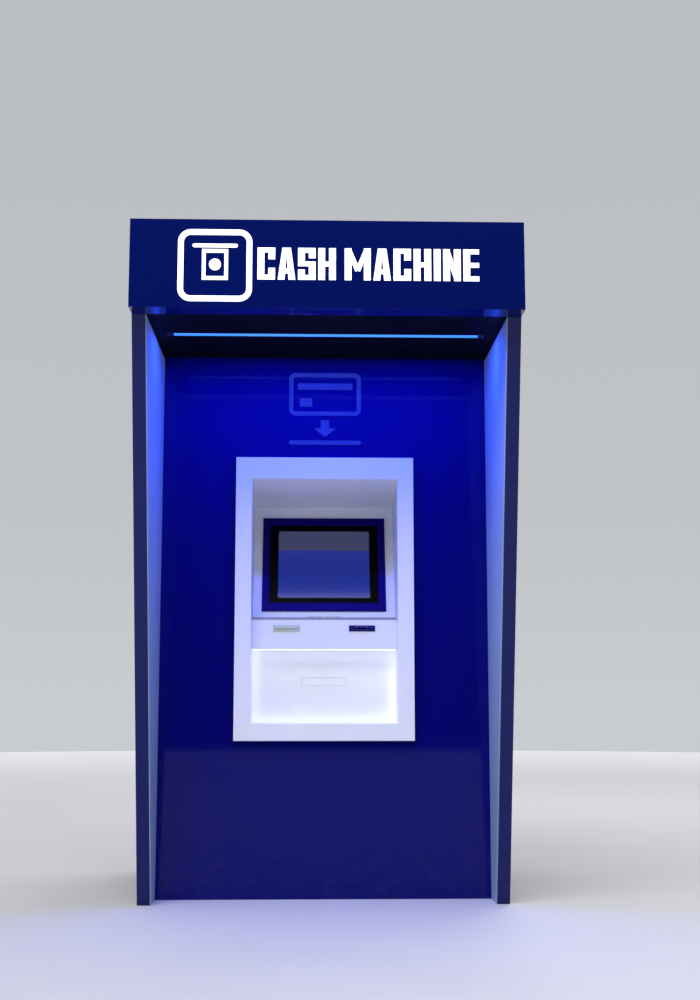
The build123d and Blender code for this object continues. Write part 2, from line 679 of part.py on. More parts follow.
def soffit():
    """Soffit sheet, its light's channel and the opal strip in the channel's mouth."""
    y = FIN_TOP_Y + LIGHT_FROM_FIN
    half = LIGHT_WIDTH / 2
    sheet = block(
        (-LINER_X - SHEET, LINER_X + SHEET),
        (FIN_TOP_Y - SHEET, HEADER_BACK_Y - SHEET),
        (SOFFIT_Z, SOFFIT_Z + SHEET),
    )
    channel = block(light_x(0), (y - half, y + half), (SOFFIT_Z, SOFFIT_Z + LIGHT_HEIGHT))
    sheet -= channel
    mouth = (y - half + LIGHT_WALL, y + half - LIGHT_WALL)
    channel -= block(light_x(LIGHT_WALL), mouth, (SOFFIT_Z, SOFFIT_Z + LIGHT_HEIGHT - LIGHT_WALL))
    strip = block(light_x(LIGHT_WALL), mouth, (SOFFIT_Z, SOFFIT_Z + DIFFUSER_THICKNESS))
    save("soffit_panel", sheet)
    save("soffit_light_channel", channel)
    save("soffit_light_diffuser", strip)


def wall_sign():
    """Card-and-arrow pictogram in flat acrylic on the wall above the fascia."""
    width, height = WALL_SIGN_CARD
    line = WALL_SIGN_LINE
    half, stem, head = WALL_SIGN_ARROW
    card = RectangleRounded(width, height, WALL_SIGN_CORNER)
    card -= RectangleRounded(width - 2 * line, height - 2 * line, WALL_SIGN_CORNER - line)
    stripe = Pos(0, WALL_SIGN_STRIPE_RISE) * Rectangle(*WALL_SIGN_STRIPE)
    chip = Pos(*WALL_SIGN_CHIP_PLACE) * Rectangle(*WALL_SIGN_CHIP)
    start = -height / 2 - WALL_SIGN_ARROW_GAP
    arrow = outline([
        (-line, start), (line, start), (line, start - stem), (half, start - stem),
        (0, start - stem - head), (-half, start - stem), (-line, start - stem),
    ])
    slot_z = start - stem - head - WALL_SIGN_SLOT_GAP - line / 2
    slot = Pos(0, slot_z) * SlotOverall(width, line)
    middle = (height / 2 + slot_z - line / 2) / 2
    pieces = []
    for shape in (card, stripe, chip, arrow, slot):
        placed = Pos(0, WALL_SIGN_Z - middle) * shape
        pieces.append(front_profile(placed, (WALL_Y - WALL_SIGN_THICKNESS, WALL_Y)))
    save("wall_sign", *pieces)


# ---------------------------------------------------------------- rear frame and door
def rear_frame():
    """Two hollow posts and a head; one post is slotted for the lock's cam."""
    top = CANOPY_HEIGHT + ROOF_THICKNESS - SHEET
    members = []
    for side in (-1, 1):
        x = sorted((side * LINER_X, side * (LINER_X - POST_WIDTH)))
        post = block(x, (POST_FRONT_Y, POST_REAR_Y), (FLOOR_Z, top))
        post -= block(
            (x[0] + POST_WALL, x[1] - POST_WALL),
            (POST_FRONT_Y + POST_WALL, POST_REAR_Y - POST_WALL),
            (FLOOR_Z, top),
        )
        if side > 0:
            post -= block(
                (x[0], x[0] + POST_WALL),
                (CAM_REAR_Y - CAM_THICKNESS - CAM_SLOT_CLEARANCE, CAM_REAR_Y + CAM_SLOT_CLEARANCE),
                (HANDLE_Z - CAM_WIDTH, HANDLE_Z + CAM_LENGTH),
            )
        members.append(post)
    x = (-LINER_X + POST_WIDTH, LINER_X - POST_WIDTH)
    head = block(x, (POST_FRONT_Y, POST_REAR_Y), (top - POST_WIDTH, top))
    head -= block(
        x,
        (POST_FRONT_Y + POST_WALL, POST_REAR_Y - POST_WALL),
        (top - POST_WIDTH + POST_WALL, top - POST_WALL),
    )
    members.append(head)
    save("rear_frame", *members)


def louvres(z):
    """A field of slots through the door's sheet."""
    field = []
    for row in range(LOUVRE_COUNT):
        height = z + (row - (LOUVRE_COUNT - 1) / 2) * LOUVRE_PITCH
        field.append(
            centred(LOUVRE_X, DOOR_Y - SHEET / 2, height, (LOUVRE_WIDTH, SHEET, LOUVRE_HEIGHT))
        )
    return field


def rear_door():
    """Folded door leaf with intake and outlet louvres and the handle's plate."""
    leaf = block((DOOR_LEFT, DOOR_RIGHT), (DOOR_INNER_Y, DOOR_Y), (DOOR_BOTTOM, DOOR_TOP))
    leaf -= block(
        (DOOR_LEFT + SHEET, DOOR_RIGHT - SHEET),
        (DOOR_INNER_Y, DOOR_Y - SHEET),
        (DOOR_BOTTOM + SHEET, DOOR_TOP - SHEET),
    )
    for slot in louvres(INTAKE_Z) + louvres(FAN_Z):
        leaf -= slot
    plate = centred(HANDLE_X, DOOR_Y + HANDLE_PLATE[1] / 2, HANDLE_Z, HANDLE_PLATE)
    leaf += plate
    hole = HANDLE_SPINDLE + TURN_CLEARANCE
    leaf -= rod_y(HANDLE_X, (DOOR_Y - SHEET, DOOR_Y + HANDLE_PLATE[1]), HANDLE_Z, hole)
    save("rear_door", leaf)


def rear_hinges():
    """Three lift-off hinges: pinned lower halves on the post, bored upper halves on the door."""
    lower, upper = [], []
    for z in HINGE_HEIGHTS:
        barrel = rod_z(HINGE_X, DOOR_Y, (z - HINGE_HALF, z - BARREL_GAP), HINGE_RADIUS)
        barrel += rod_z(HINGE_X, DOOR_Y, (z - BARREL_GAP, z + HINGE_HALF - HINGE_TAB), HINGE_PIN_RADIUS)
        barrel += block(
            (HINGE_X - HINGE_RADIUS, HINGE_X - HINGE_RADIUS + HINGE_TAB),
            (POST_REAR_Y, DOOR_Y),
            (z - HINGE_HALF, z - BARREL_GAP),
        )
        lower.append(barrel)
        sleeve = rod_z(HINGE_X, DOOR_Y, (z, z + HINGE_HALF), HINGE_RADIUS)
        sleeve += block((HINGE_X, DOOR_LEFT), (DOOR_Y - HINGE_TAB, DOOR_Y), (z, z + HINGE_HALF))
        sleeve -= rod_z(HINGE_X, DOOR_Y, (z, z + HINGE_HALF), HINGE_PIN_RADIUS + PIN_CLEARANCE)
        upper.append(sleeve)
    save("rear_hinge_lower", *lower)
    save("rear_hinge_upper", *upper)


def rear_door_handle():
    """Lever, spindle and lock cam; the lever hangs down when the lock is open."""
    front = DOOR_Y + HANDLE_PLATE[1] + TURN_CLEARANCE
    back = front + HANDLE_LEVER_THICKNESS
    handle = rod_y(HANDLE_X, (front, back), HANDLE_Z, HANDLE_HUB)
    handle += block(
        (HANDLE_X - HANDLE_LEVER_WIDTH / 2, HANDLE_X + HANDLE_LEVER_WIDTH / 2),
        (front, back),
        (HANDLE_Z - HANDLE_LEVER, HANDLE_Z),
    )
    handle += rod_y(HANDLE_X, (CAM_REAR_Y - CAM_THICKNESS, front), HANDLE_Z, HANDLE_SPINDLE)
    handle += block(
        (HANDLE_X - CAM_WIDTH / 2, HANDLE_X + CAM_WIDTH / 2),
        (CAM_REAR_Y - CAM_THICKNESS, CAM_REAR_Y),
        (HANDLE_Z - CAM_WIDTH / 2, HANDLE_Z + CAM_LENGTH),
    )
    save("rear_door_handle", handle)


def vent_fan():
    """Fan on the inside of the rear door, behind the upper louvres."""
    rear = DOOR_Y - SHEET
    front = rear - FAN_DEPTH
    frame = centred(LOUVRE_X, (front + rear) / 2, FAN_Z, (FAN_SIZE, FAN_DEPTH, FAN_SIZE))
    frame -= rod_y(LOUVRE_X, (front, rear), FAN_Z, FAN_BORE)
    spider = rod_y(LOUVRE_X, (front, front + FAN_BACK), FAN_Z, FAN_HUB)
    arm = centred(0, front + FAN_BACK / 2, 0, (FAN_STRUT, FAN_BACK, 2 * FAN_BORE))
    for angle in FAN_STRUT_ANGLES:
        spider += Pos(LOUVRE_X, 0, FAN_Z) * Rot(0, angle, 0) * arm
    spider &= rod_y(LOUVRE_X, (front, rear), FAN_Z, FAN_BORE)
    spider += rod_y(LOUVRE_X, (front + FAN_BACK, rear - FAN_BACK), FAN_Z, FAN_PIN)
    save("vent_fan_housing", frame + spider)

    start, end = front + FAN_BACK + FAN_ROTOR_GAP, rear - FAN_ROTOR_REAR
    rotor = rod_y(0, (start, end), 0, FAN_HUB)
    span = FAN_TIP - FAN_HUB + 2 * FAN_BLADE_ROOT
    blade = Pos(0, (start + end) / 2, FAN_HUB - FAN_BLADE_ROOT + span / 2)
    blade *= Rot(0, 0, FAN_BLADE_TWIST)
    for number in range(FAN_BLADES):
        turn = Rot(0, 360.0 / FAN_BLADES * number, 0)
        rotor += turn * blade * Box(*FAN_BLADE, span)
    rotor &= rod_y(0, (start, end), 0, FAN_TIP)
    bore_end = rear - FAN_BACK + FAN_PIN_END_GAP
    rotor -= rod_y(0, (start, bore_end), 0, FAN_PIN + PIN_CLEARANCE)
    save("vent_fan_rotor", Pos(LOUVRE_X, 0, FAN_Z) * rotor)


# ---------------------------------------------------------------- fascia and recess
def fascia_surround():
    """White frame standing proud of the wall, open behind."""
    front, back = WALL_Y - FASCIA_PROUD, WALL_Y
    half = FASCIA_HALF_WIDTH
    frame = block((-half, half), (front, back), (FASCIA_BOTTOM, FASCIA_TOP))
    frame -= block(
        (-half + FASCIA_SHEET, half - FASCIA_SHEET),
        (RECESS_FRONT_Y, back),
        (FASCIA_BOTTOM + FASCIA_SHEET, FASCIA_TOP - FASCIA_SHEET),
    )
    frame -= block(
        (-OPENING_HALF_WIDTH, OPENING_HALF_WIDTH),
        (front, RECESS_FRONT_Y),
        (OPENING_BOTTOM, OPENING_TOP),
    )
    save("fascia_surround", frame)


def recess_liner():
    """Moulded liner: two cheeks, the sloping hood and the alcove's floor."""
    wall = LINER_WALL
    cheek = outline([
        (RECESS_FRONT_Y, OPENING_BOTTOM - wall),
        (RECESS_FRONT_Y, OPENING_TOP + wall),
        (HOOD_BACK_Y + wall, HOOD_BACK_Z + wall),
        (SCREEN_FOOT_Y + wall, SHELF_TOP),
        (LINER_BACK_Y, CONSOLE_BOTTOM),
        (LINER_BACK_Y, OPENING_BOTTOM - wall),
    ])
    hood = outline([
        (RECESS_FRONT_Y, OPENING_TOP),
        (RECESS_FRONT_Y, OPENING_TOP + wall),
        (HOOD_BACK_Y + wall, HOOD_BACK_Z + wall),
        (HOOD_BACK_Y, HOOD_BACK_Z),
    ])
    liner = side_profile(cheek, (CHEEK_X, CHEEK_X + wall))
    liner += side_profile(cheek, (-CHEEK_X - wall, -CHEEK_X))
    liner += side_profile(hood, (-CHEEK_X, CHEEK_X))
    liner += block(
        (-CHEEK_X, CHEEK_X),
        (RECESS_FRONT_Y, LOWER_PANEL_Y),
        (OPENING_BOTTOM - wall, OPENING_BOTTOM),
    )
    save("recess_liner", liner)


def screen():
    """Sloping panel, blue frame, black bezel and the display behind its window."""
    cut = (BEZEL[0] + 2 * BEZEL_CLEARANCE, BEZEL[1] + 2 * BEZEL_CLEARANCE)
    rise = SCREEN_PANEL_ABOVE - SCREEN_PANEL_SHEET
    middle = (rise - SCREEN_PANEL_BELOW) / 2
    panel = SCREEN_PLANE * Pos(0, middle, -SCREEN_PANEL_SHEET / 2) * Box(
        2 * CHEEK_X, rise + SCREEN_PANEL_BELOW, SCREEN_PANEL_SHEET
    )
    panel -= screen_block(cut, CUT_EXTRA, -SCREEN_PANEL_SHEET - CUT_EXTRA)
    save("screen_panel", panel)

    frame = screen_block(SCREEN_FRAME, SCREEN_FRAME_PROUD, 0)
    frame -= screen_block(BEZEL, SCREEN_FRAME_PROUD + CUT_EXTRA, -CUT_EXTRA)
    save("screen_frame", frame)

    bezel = screen_block(BEZEL, BEZEL_FRONT, -BEZEL_BACK)
    window = SCREEN_PLANE * Pos(0, 0, -BEZEL_BACK - CUT_EXTRA)
    depth = BEZEL_FRONT + BEZEL_BACK + 2 * CUT_EXTRA
    bezel -= window * extrude(RectangleRounded(*WINDOW, WINDOW_CORNER), amount=depth)
    save("screen_bezel", bezel)

    size = (BEZEL[0] - 2 * DISPLAY_MARGIN, BEZEL[1] - 2 * DISPLAY_MARGIN)
    display = screen_block(size, -BEZEL_BACK, -BEZEL_BACK - DISPLAY_DEPTH)
    pane = RectangleRounded(
        WINDOW[0] - 2 * WINDOW_CLEARANCE,
        WINDOW[1] - 2 * WINDOW_CLEARANCE,
        WINDOW_CORNER - WINDOW_CLEARANCE,
    )
    display += SCREEN_PLANE * Pos(0, 0, -BEZEL_BACK) * extrude(pane, amount=BEZEL_BACK + WINDOW_FRONT)
    save("display_module", display)


def slot_nose(x):
    """The part of a slot module that stands through the console's front."""
    width, height = SLOT_BEZEL
    lap = SLOT_BEZEL_LAP
    bezel = block(
        (x - width / 2, x + width / 2),
        (CONSOLE_Y - SLOT_BEZEL_PROUD, CONSOLE_Y),
        (SLOT_BEZEL_Z - height / 2, SLOT_BEZEL_Z + height / 2),
    )
    bezel = chamfer(bezel.faces().sort_by(Axis.Y)[0].edges(), SLOT_BEZEL_CHAMFER)
    nose = block(
        (x - width / 2 + lap, x + width / 2 - lap),
        (CONSOLE_Y, CONSOLE_Y + CONSOLE_SHEET + MODULE_GAP),
        (SLOT_BEZEL_Z - height / 2 + lap, SLOT_BEZEL_Z + height / 2 - lap),
    )
    return bezel + nose


def slot_cut(x, slot, depth):
    front = CONSOLE_Y - SLOT_BEZEL_PROUD
    return block(
        (x - slot[0] / 2, x + slot[0] / 2),
        (front, front + depth),
        (SLOT_BEZEL_Z - slot[1] / 2, SLOT_BEZEL_Z + slot[1] / 2),
    )


def card_reader():
    """Motor card reader with its bezel."""
    width, depth, height = CARD_READER_BODY
    front = CONSOLE_Y + CONSOLE_SHEET + MODULE_GAP
    body = block(
        (BEZEL_X - width / 2, BEZEL_X + width / 2),
        (front, front + depth),
        (SLOT_BEZEL_Z - height / 2, SLOT_BEZEL_Z + height / 2),
    )
    reader = body + slot_nose(BEZEL_X) - slot_cut(BEZEL_X, CARD_SLOT, CARD_SLOT_DEPTH)
    save("card_reader", reader)


def receipt_printer():
    """Receipt printer with its bezel, and the spindle that holds the paper roll."""
    width, depth, height = PRINTER_BODY
    front = CONSOLE_Y + CONSOLE_SHEET + MODULE_GAP
    x = -BEZEL_X
    body = block(
        (x - width / 2, x + width / 2),
        (front, front + depth),
        (SLOT_BEZEL_Z - height / 2, SLOT_BEZEL_Z + height / 2),
    )
    inner = ROLL_WIDTH / 2 + ROLL_SIDE_GAP
    for side in (-1, 1):
        ends = sorted((x + side * inner, x + side * (inner + ROLL_CHEEK)))
        body += block(
            ends,
            (front + depth, ROLL_Y + 2 * ROLL_CORE),
            (ROLL_Z - 2 * ROLL_CORE, SLOT_BEZEL_Z + height / 2),
        )
    body += rod_x((x - inner, x + inner), ROLL_Y, ROLL_Z, ROLL_CORE - ROLL_SPINDLE_CLEARANCE)
    printer = body + slot_nose(x) - slot_cut(x, RECEIPT_SLOT, RECEIPT_SLOT_DEPTH)
    save("receipt_printer", printer)
    roll = rod_x((x - ROLL_WIDTH / 2, x + ROLL_WIDTH / 2), ROLL_Y, ROLL_Z, ROLL_RADIUS)
    roll -= rod_x((x - ROLL_WIDTH / 2, x + ROLL_WIDTH / 2), ROLL_Y, ROLL_Z, ROLL_CORE)
    save("paper_roll", roll)


def shelf_console():
    """Box section under the screen, open behind, pierced for the slots and the keypad."""
    x = (-CHEEK_X, CHEEK_X)
    back = LINER_BACK_Y
    box = block(x, (CONSOLE_Y, back), (CONSOLE_BOTTOM, CONSOLE_TOP))
    box -= block(
        x,
        (CONSOLE_Y + CONSOLE_SHEET, back),
        (CONSOLE_BOTTOM + CONSOLE_SHEET, CONSOLE_TOP - CONSOLE_SHEET),
    )
    width = SLOT_BEZEL[0] - 2 * SLOT_BEZEL_LAP
    height = SLOT_BEZEL[1] - 2 * SLOT_BEZEL_LAP
    for side in (-1, 1):
        box -= centred(
            side * BEZEL_X,
            CONSOLE_Y + CONSOLE_SHEET / 2,
            SLOT_BEZEL_Z,
            (width, CONSOLE_SHEET, height),
        )
    box -= pad_cut(CONSOLE_BOTTOM + CONSOLE_SHEET, CONSOLE_TOP)
    save("shelf_console", box)


def pad_cut(low, high):
    half_x = PAD_SIZE[0] / 2 + PAD_CLEARANCE
    half_y = PAD_SIZE[1] / 2 + PAD_CLEARANCE
    return block((-half_x, half_x), (PAD_Y - half_y, PAD_Y + half_y), (low, high))


def keypad_shelf():
    """Grey plate on the console's top, around the keypad."""
    half = CHEEK_X - SHELF_SIDE_GAP
    plate = block((-half, half), (CONSOLE_Y, SHELF_BACK_Y), (CONSOLE_TOP, SHELF_TOP))
    save("keypad_shelf", plate - pad_cut(CONSOLE_TOP, SHELF_TOP))


def key_place(column, row):
    x = (column - (KEY_COLUMNS - 1) / 2) * KEY_PITCH[0]
    y = PAD_Y + ((KEY_ROWS - 1) / 2 - row) * KEY_PITCH[1]
    return x, y


def keypad():
    """Keypad body with a pocket for each key, and the keys."""
    lap = PAD_CLEARANCE + PAD_LAP
    body = block(
        (-PAD_SIZE[0] / 2, PAD_SIZE[0] / 2),
        (PAD_Y - PAD_SIZE[1] / 2, PAD_Y + PAD_SIZE[1] / 2),
        (PAD_TOP - PAD_DEPTH, PAD_TOP),
    )
    body += block(
        (-PAD_SIZE[0] / 2 - lap, PAD_SIZE[0] / 2 + lap),
        (PAD_Y - PAD_SIZE[1] / 2 - lap, PAD_Y + PAD_SIZE[1] / 2 + lap),
        (SHELF_TOP, PAD_TOP),
    )
    number = 1
    for row in range(KEY_ROWS):
        for column in range(KEY_COLUMNS):
            x, y = key_place(column, row)
            body -= block(
                (x - KEY_SIZE[0] / 2 - KEY_CLEARANCE, x + KEY_SIZE[0] / 2 + KEY_CLEARANCE),
                (y - KEY_SIZE[1] / 2 - KEY_CLEARANCE, y + KEY_SIZE[1] / 2 + KEY_CLEARANCE),
                (PAD_TOP - KEY_POCKET, PAD_TOP),
            )
            key = block(
                (x - KEY_SIZE[0] / 2, x + KEY_SIZE[0] / 2),
                (y - KEY_SIZE[1] / 2, y + KEY_SIZE[1] / 2),
                (PAD_TOP - KEY_POCKET + KEY_TRAVEL + KEY_FLOOR_GAP, PAD_TOP + KEY_PROUD),
            )
            key = chamfer(key.faces().sort_by(Axis.Z)[-1].edges(), KEY_CHAMFER)
            save(f"key_{number:02d}", key)
            number += 1
    save("pinpad_housing", body)


def lower_panel():
    """Rear panel of the lower alcove with the cash outlet and the shutter's bearings."""
    y = (LOWER_PANEL_Y, LOWER_PANEL_Y + LOWER_PANEL_SHEET)
    panel = block((-CHEEK_X, CHEEK_X), y, (OPENING_BOTTOM, CONSOLE_BOTTOM))
    half = OUTLET_SIZE[0] / 2
    panel -= block((-half, half), y, (OUTLET_Z, OUTLET_TOP))
    reach = SHUTTER_EAR
    for side in (-1, 1):
        ends = sorted((side * half, side * (half + reach)))
        ear = block(
            ends,
            (y[1], SHUTTER_PIN_Y + SHUTTER_PIN + SHUTTER_WEB),
            (SHUTTER_PIN_Z - reach, SHUTTER_PIN_Z + reach),
        )
        ear -= rod_x(ends, SHUTTER_PIN_Y, SHUTTER_PIN_Z, SHUTTER_PIN + PIN_CLEARANCE)
        panel += ear
    save("lower_panel", panel)

    wide = half - SHUTTER_GAP
    flap = block(
        (-wide, wide),
        (LOWER_PANEL_Y, LOWER_PANEL_Y + SHUTTER_THICKNESS),
        (OUTLET_Z + SHUTTER_GAP, OUTLET_TOP - SHUTTER_TOP_GAP),
    )
    flap += block(
        (-wide, wide),
        (LOWER_PANEL_Y + SHUTTER_THICKNESS / 2, SHUTTER_PIN_Y),
        (SHUTTER_PIN_Z - SHUTTER_WEB / 2, SHUTTER_PIN_Z + SHUTTER_WEB / 2),
    )
    flap += rod_x((-half - reach, half + reach), SHUTTER_PIN_Y, SHUTTER_PIN_Z, SHUTTER_PIN)
    save("cash_shutter", flap)


# ---------------------------------------------------------------- safe
def safe_body():
    """Steel box open behind, with its hinge halves and the keeper for the bolts."""
    half = SAFE_HALF_WIDTH
    y = (SAFE_FRONT_Y, SAFE_BODY_REAR_Y)
    body = block((-half, half), y, (FLOOR_Z, SAFE_TOP))
    body -= block(
        (-half + SAFE_WALL, half - SAFE_WALL),
        (y[0] + SAFE_FRONT_WALL, y[1]),
        (FLOOR_Z + SAFE_WALL, SAFE_TOP - SAFE_WALL),
    )
    gap = PRESENTER_SLOT_CLEARANCE
    body -= block(
        (-PRESENTER[0] / 2 - gap, PRESENTER[0] / 2 + gap),
        (y[0], y[0] + SAFE_FRONT_WALL),
        presenter_z(gap),
    )
    keeper = block(
        (half, half + KEEPER_THICKNESS),
        (y[1] - KEEPER_DEPTH + SAFE_DOOR_THICKNESS, SAFE_DOOR_Y),
        (FLOOR_Z + SAFE_WALL, SAFE_TOP - SAFE_WALL),
    )
    for z in BOLT_HEIGHTS:
        keeper -= rod_x(
            (half, half + KEEPER_THICKNESS), bolt_y(), z, BOLT_RADIUS + BOLT_HOLE_CLEARANCE
        )
    body += keeper
    for z in SAFE_HINGE_HEIGHTS:
        body += rod_z(
            SAFE_HINGE_X, SAFE_DOOR_Y, (z - SAFE_HINGE_HALF, z - BARREL_GAP), SAFE_HINGE_RADIUS
        )
        body += rod_z(
            SAFE_HINGE_X, SAFE_DOOR_Y, (z - BARREL_GAP, z + SAFE_HINGE_HALF), SAFE_HINGE_PIN
        )
        body += block(
            (SAFE_HINGE_X - SAFE_HINGE_RADIUS, -half),
            (y[1] - SAFE_HINGE_HALF, y[1]),
            (z - SAFE_HINGE_HALF, z - BARREL_GAP),
        )
        body += block(
            (SAFE_HINGE_X - SAFE_HINGE_RADIUS, SAFE_HINGE_X),
            (y[1], SAFE_DOOR_Y),
            (z - SAFE_HINGE_HALF, z - BARREL_GAP),
        )
    save("safe_body", body)


def bolt_y():
    """Middle of the bolt-work space inside the safe door."""
    return SAFE_DOOR_Y - SAFE_DOOR_PLATE - (SAFE_DOOR_THICKNESS - SAFE_DOOR_PLATE) / 2


def safe_door():
    """Steel plate with a rim around the bolt-work, and the upper hinge halves."""
    inner_y = SAFE_DOOR_Y - SAFE_DOOR_THICKNESS
    x = (SAFE_DOOR_LEFT, SAFE_DOOR_RIGHT)
    door = block(x, (inner_y, SAFE_DOOR_Y), (FLOOR_Z + SAFE_DOOR_EDGE, SAFE_TOP))
    door -= block(
        (x[0] + SAFE_DOOR_RIM, x[1] - SAFE_DOOR_RIM),
        (inner_y, SAFE_DOOR_Y - SAFE_DOOR_PLATE),
        (FLOOR_Z + SAFE_DOOR_EDGE + SAFE_DOOR_RIM, SAFE_TOP - SAFE_DOOR_RIM),
    )
    for z in BOLT_HEIGHTS:
        door -= rod_x((x[1] - SAFE_DOOR_RIM, x[1]), bolt_y(), z, BOLT_RADIUS + TURN_CLEARANCE)
    door -= rod_y(
        SAFE_KNOB_X,
        (SAFE_DOOR_Y - SAFE_DOOR_PLATE, SAFE_DOOR_Y),
        SAFE_KNOB_Z,
        SAFE_KNOB_SPINDLE + TURN_CLEARANCE,
    )
    for z in SAFE_HINGE_HEIGHTS:
        sleeve = rod_z(SAFE_HINGE_X, SAFE_DOOR_Y, (z, z + SAFE_HINGE_HALF), SAFE_HINGE_RADIUS)
        sleeve += block(
            (SAFE_HINGE_X, x[0]), (SAFE_DOOR_Y - HINGE_TAB, SAFE_DOOR_Y), (z, z + SAFE_HINGE_HALF)
        )
        sleeve -= rod_z(
            SAFE_HINGE_X, SAFE_DOOR_Y, (z, z + SAFE_HINGE_HALF), SAFE_HINGE_PIN + PIN_CLEARANCE
        )
        door += sleeve
    save("safe_door", door)


def safe_lock():
    """Spoked knob on its spindle, and the bolts on their bar, drawn back at rest."""
    front = SAFE_DOOR_Y + TURN_CLEARANCE
    knob = rod_y(SAFE_KNOB_X, (front, front + SAFE_KNOB_DEPTH), SAFE_KNOB_Z, SAFE_KNOB_HUB)
    spoke_y = front + SAFE_KNOB_DEPTH - SAFE_KNOB_BALL
    for number in range(SAFE_KNOB_SPOKES):
        turn = Rot(0, 360.0 / SAFE_KNOB_SPOKES * number, 0)
        bar = turn * rod_z(0, spoke_y, (0, SAFE_KNOB_SPOKE), SAFE_KNOB_BAR)
        ball = turn * Pos(0, spoke_y, SAFE_KNOB_SPOKE) * Sphere(SAFE_KNOB_BALL)
        knob += Pos(SAFE_KNOB_X, 0, SAFE_KNOB_Z) * (bar + ball)
    spindle_end = SAFE_DOOR_Y - SAFE_DOOR_PLATE - BOLT_RADIUS
    knob += rod_y(SAFE_KNOB_X, (spindle_end, front), SAFE_KNOB_Z, SAFE_KNOB_SPINDLE)
    save("safe_handle", knob)

    tip = SAFE_DOOR_RIGHT - SAFE_DOOR_EDGE
    root = tip - BOLT_LENGTH
    bolts = block(
        (root - BOLT_BAR, root),
        (bolt_y() - BOLT_BAR / 2, bolt_y() + BOLT_BAR / 2),
        (BOLT_HEIGHTS[0] - 2 * BOLT_BAR, BOLT_HEIGHTS[-1] + 2 * BOLT_BAR),
    )
    for z in BOLT_HEIGHTS:
        bolts += rod_x((root, tip), bolt_y(), z, BOLT_RADIUS)
    save("safe_bolts", bolts)


def presenter_z(gap):
    """Lower and upper edge of the presenter, or of its slot with the gap around it."""
    middle = (OUTLET_Z + OUTLET_TOP) / 2
    top = min(middle + PRESENTER[1] / 2, SAFE_TOP - SAFE_WALL - 2 * PRESENTER_SLOT_CLEARANCE)
    return (top - PRESENTER[1] - gap, top + gap)


def cassette_rear():
    return SAFE_BODY_REAR_Y - CASSETTE_DOOR_GAP


def cassette_z(number):
    return FLOOR_Z + SAFE_WALL + CASSETTE_LOW + number * CASSETTE_PITCH


def cash_cassettes():
    """Cash cassettes with their handles."""
    width, length, height = CASSETTE
    rear = cassette_rear() - CASSETTE_HANDLE[1]
    cassettes = []
    for number in range(CASSETTE_COUNT):
        z = cassette_z(number)
        body = block(
            (CASSETTE_X - width / 2, CASSETTE_X + width / 2),
            (rear - length, rear),
            (z, z + height),
        )
        body = fillet(body.edges().filter_by(Axis.Y), CASSETTE_ROUND)
        grip = centred(CASSETTE_X, rear + CASSETTE_HANDLE[1] / 2, z + height / 2, CASSETTE_HANDLE)
        cassettes.append(body + grip)
    save("cash_cassettes", *cassettes)


def cash_dispenser():
    """Side plates with cassette rails, and the presenter above them."""
    width, length = CASSETTE[:2]
    gap = CASSETTE_CLEARANCE
    rear = cassette_rear() - CASSETTE_HANDLE[1]
    front = rear - length - CASSETTE_STOP_GAP
    inner = width / 2 + gap
    bottom = FLOOR_Z + SAFE_WALL
    z = presenter_z(0)
    top = z[0]
    frame = block(
        (CASSETTE_X - inner - DISPENSER_PLATE, CASSETTE_X + inner + DISPENSER_PLATE),
        (front - DISPENSER_PLATE, front),
        (bottom, top),
    )
    for side in (-1, 1):
        ends = sorted((CASSETTE_X + side * inner, CASSETTE_X + side * (inner + DISPENSER_PLATE)))
        frame += block(ends, (front, rear), (bottom, top))
        for number in range(CASSETTE_COUNT):
            low = cassette_z(number) - gap
            rail = sorted((CASSETTE_X + side * inner, CASSETTE_X + side * (inner - CASSETTE_RAIL)))
            frame += block(rail, (front, rear), (low - DISPENSER_PLATE, low))
    frame += block(
        (CASSETTE_X - inner - DISPENSER_PLATE, CASSETTE_X + inner + DISPENSER_PLATE),
        (front - DISPENSER_PLATE, rear),
        z,
    )
    nose = LINER_BACK_Y + OUTLET_SIZE[1] + PRESENTER_GAP
    frame += block((-PRESENTER[0] / 2, PRESENTER[0] / 2), (nose, front - DISPENSER_PLATE), z)
    save("cash_dispenser", frame)


# ---------------------------------------------------------------- chassis and computer
def atm_chassis():
    """Plate on the safe, side plates that carry the recess, and a brace between them."""
    x = CHEEK_X + LINER_WALL
    front = SAFE_FRONT_Y + CHASSIS_FRONT_GAP
    chassis = block(
        (-x - CHASSIS_SIDE, x + CHASSIS_SIDE),
        (front, SAFE_BODY_REAR_Y - CHASSIS_REAR_GAP),
        (SAFE_TOP, SAFE_TOP + CHASSIS_SHEET),
    )
    for side in (-1, 1):
        ends = sorted((side * x, side * (x + CHASSIS_SIDE)))
        chassis += block(
            ends, (front, front + CHASSIS_SIDE_DEPTH), (SAFE_TOP + CHASSIS_SHEET, CHASSIS_TOP)
        )
    chassis += block(
        (-x, x),
        (front + CHASSIS_SIDE_DEPTH - CHASSIS_BRACE, front + CHASSIS_SIDE_DEPTH),
        (CHASSIS_TOP - CHASSIS_BRACE, CHASSIS_TOP),
    )
    save("atm_chassis", chassis)


def pc_core():
    """Computer on the chassis plate."""
    width, depth, height = COMPUTER
    rear = SAFE_BODY_REAR_Y - COMPUTER_REAR_GAP
    low = SAFE_TOP + CHASSIS_SHEET
    case = block((-width / 2, width / 2), (rear - depth, rear), (low, low + height))
    save("pc_core", case)


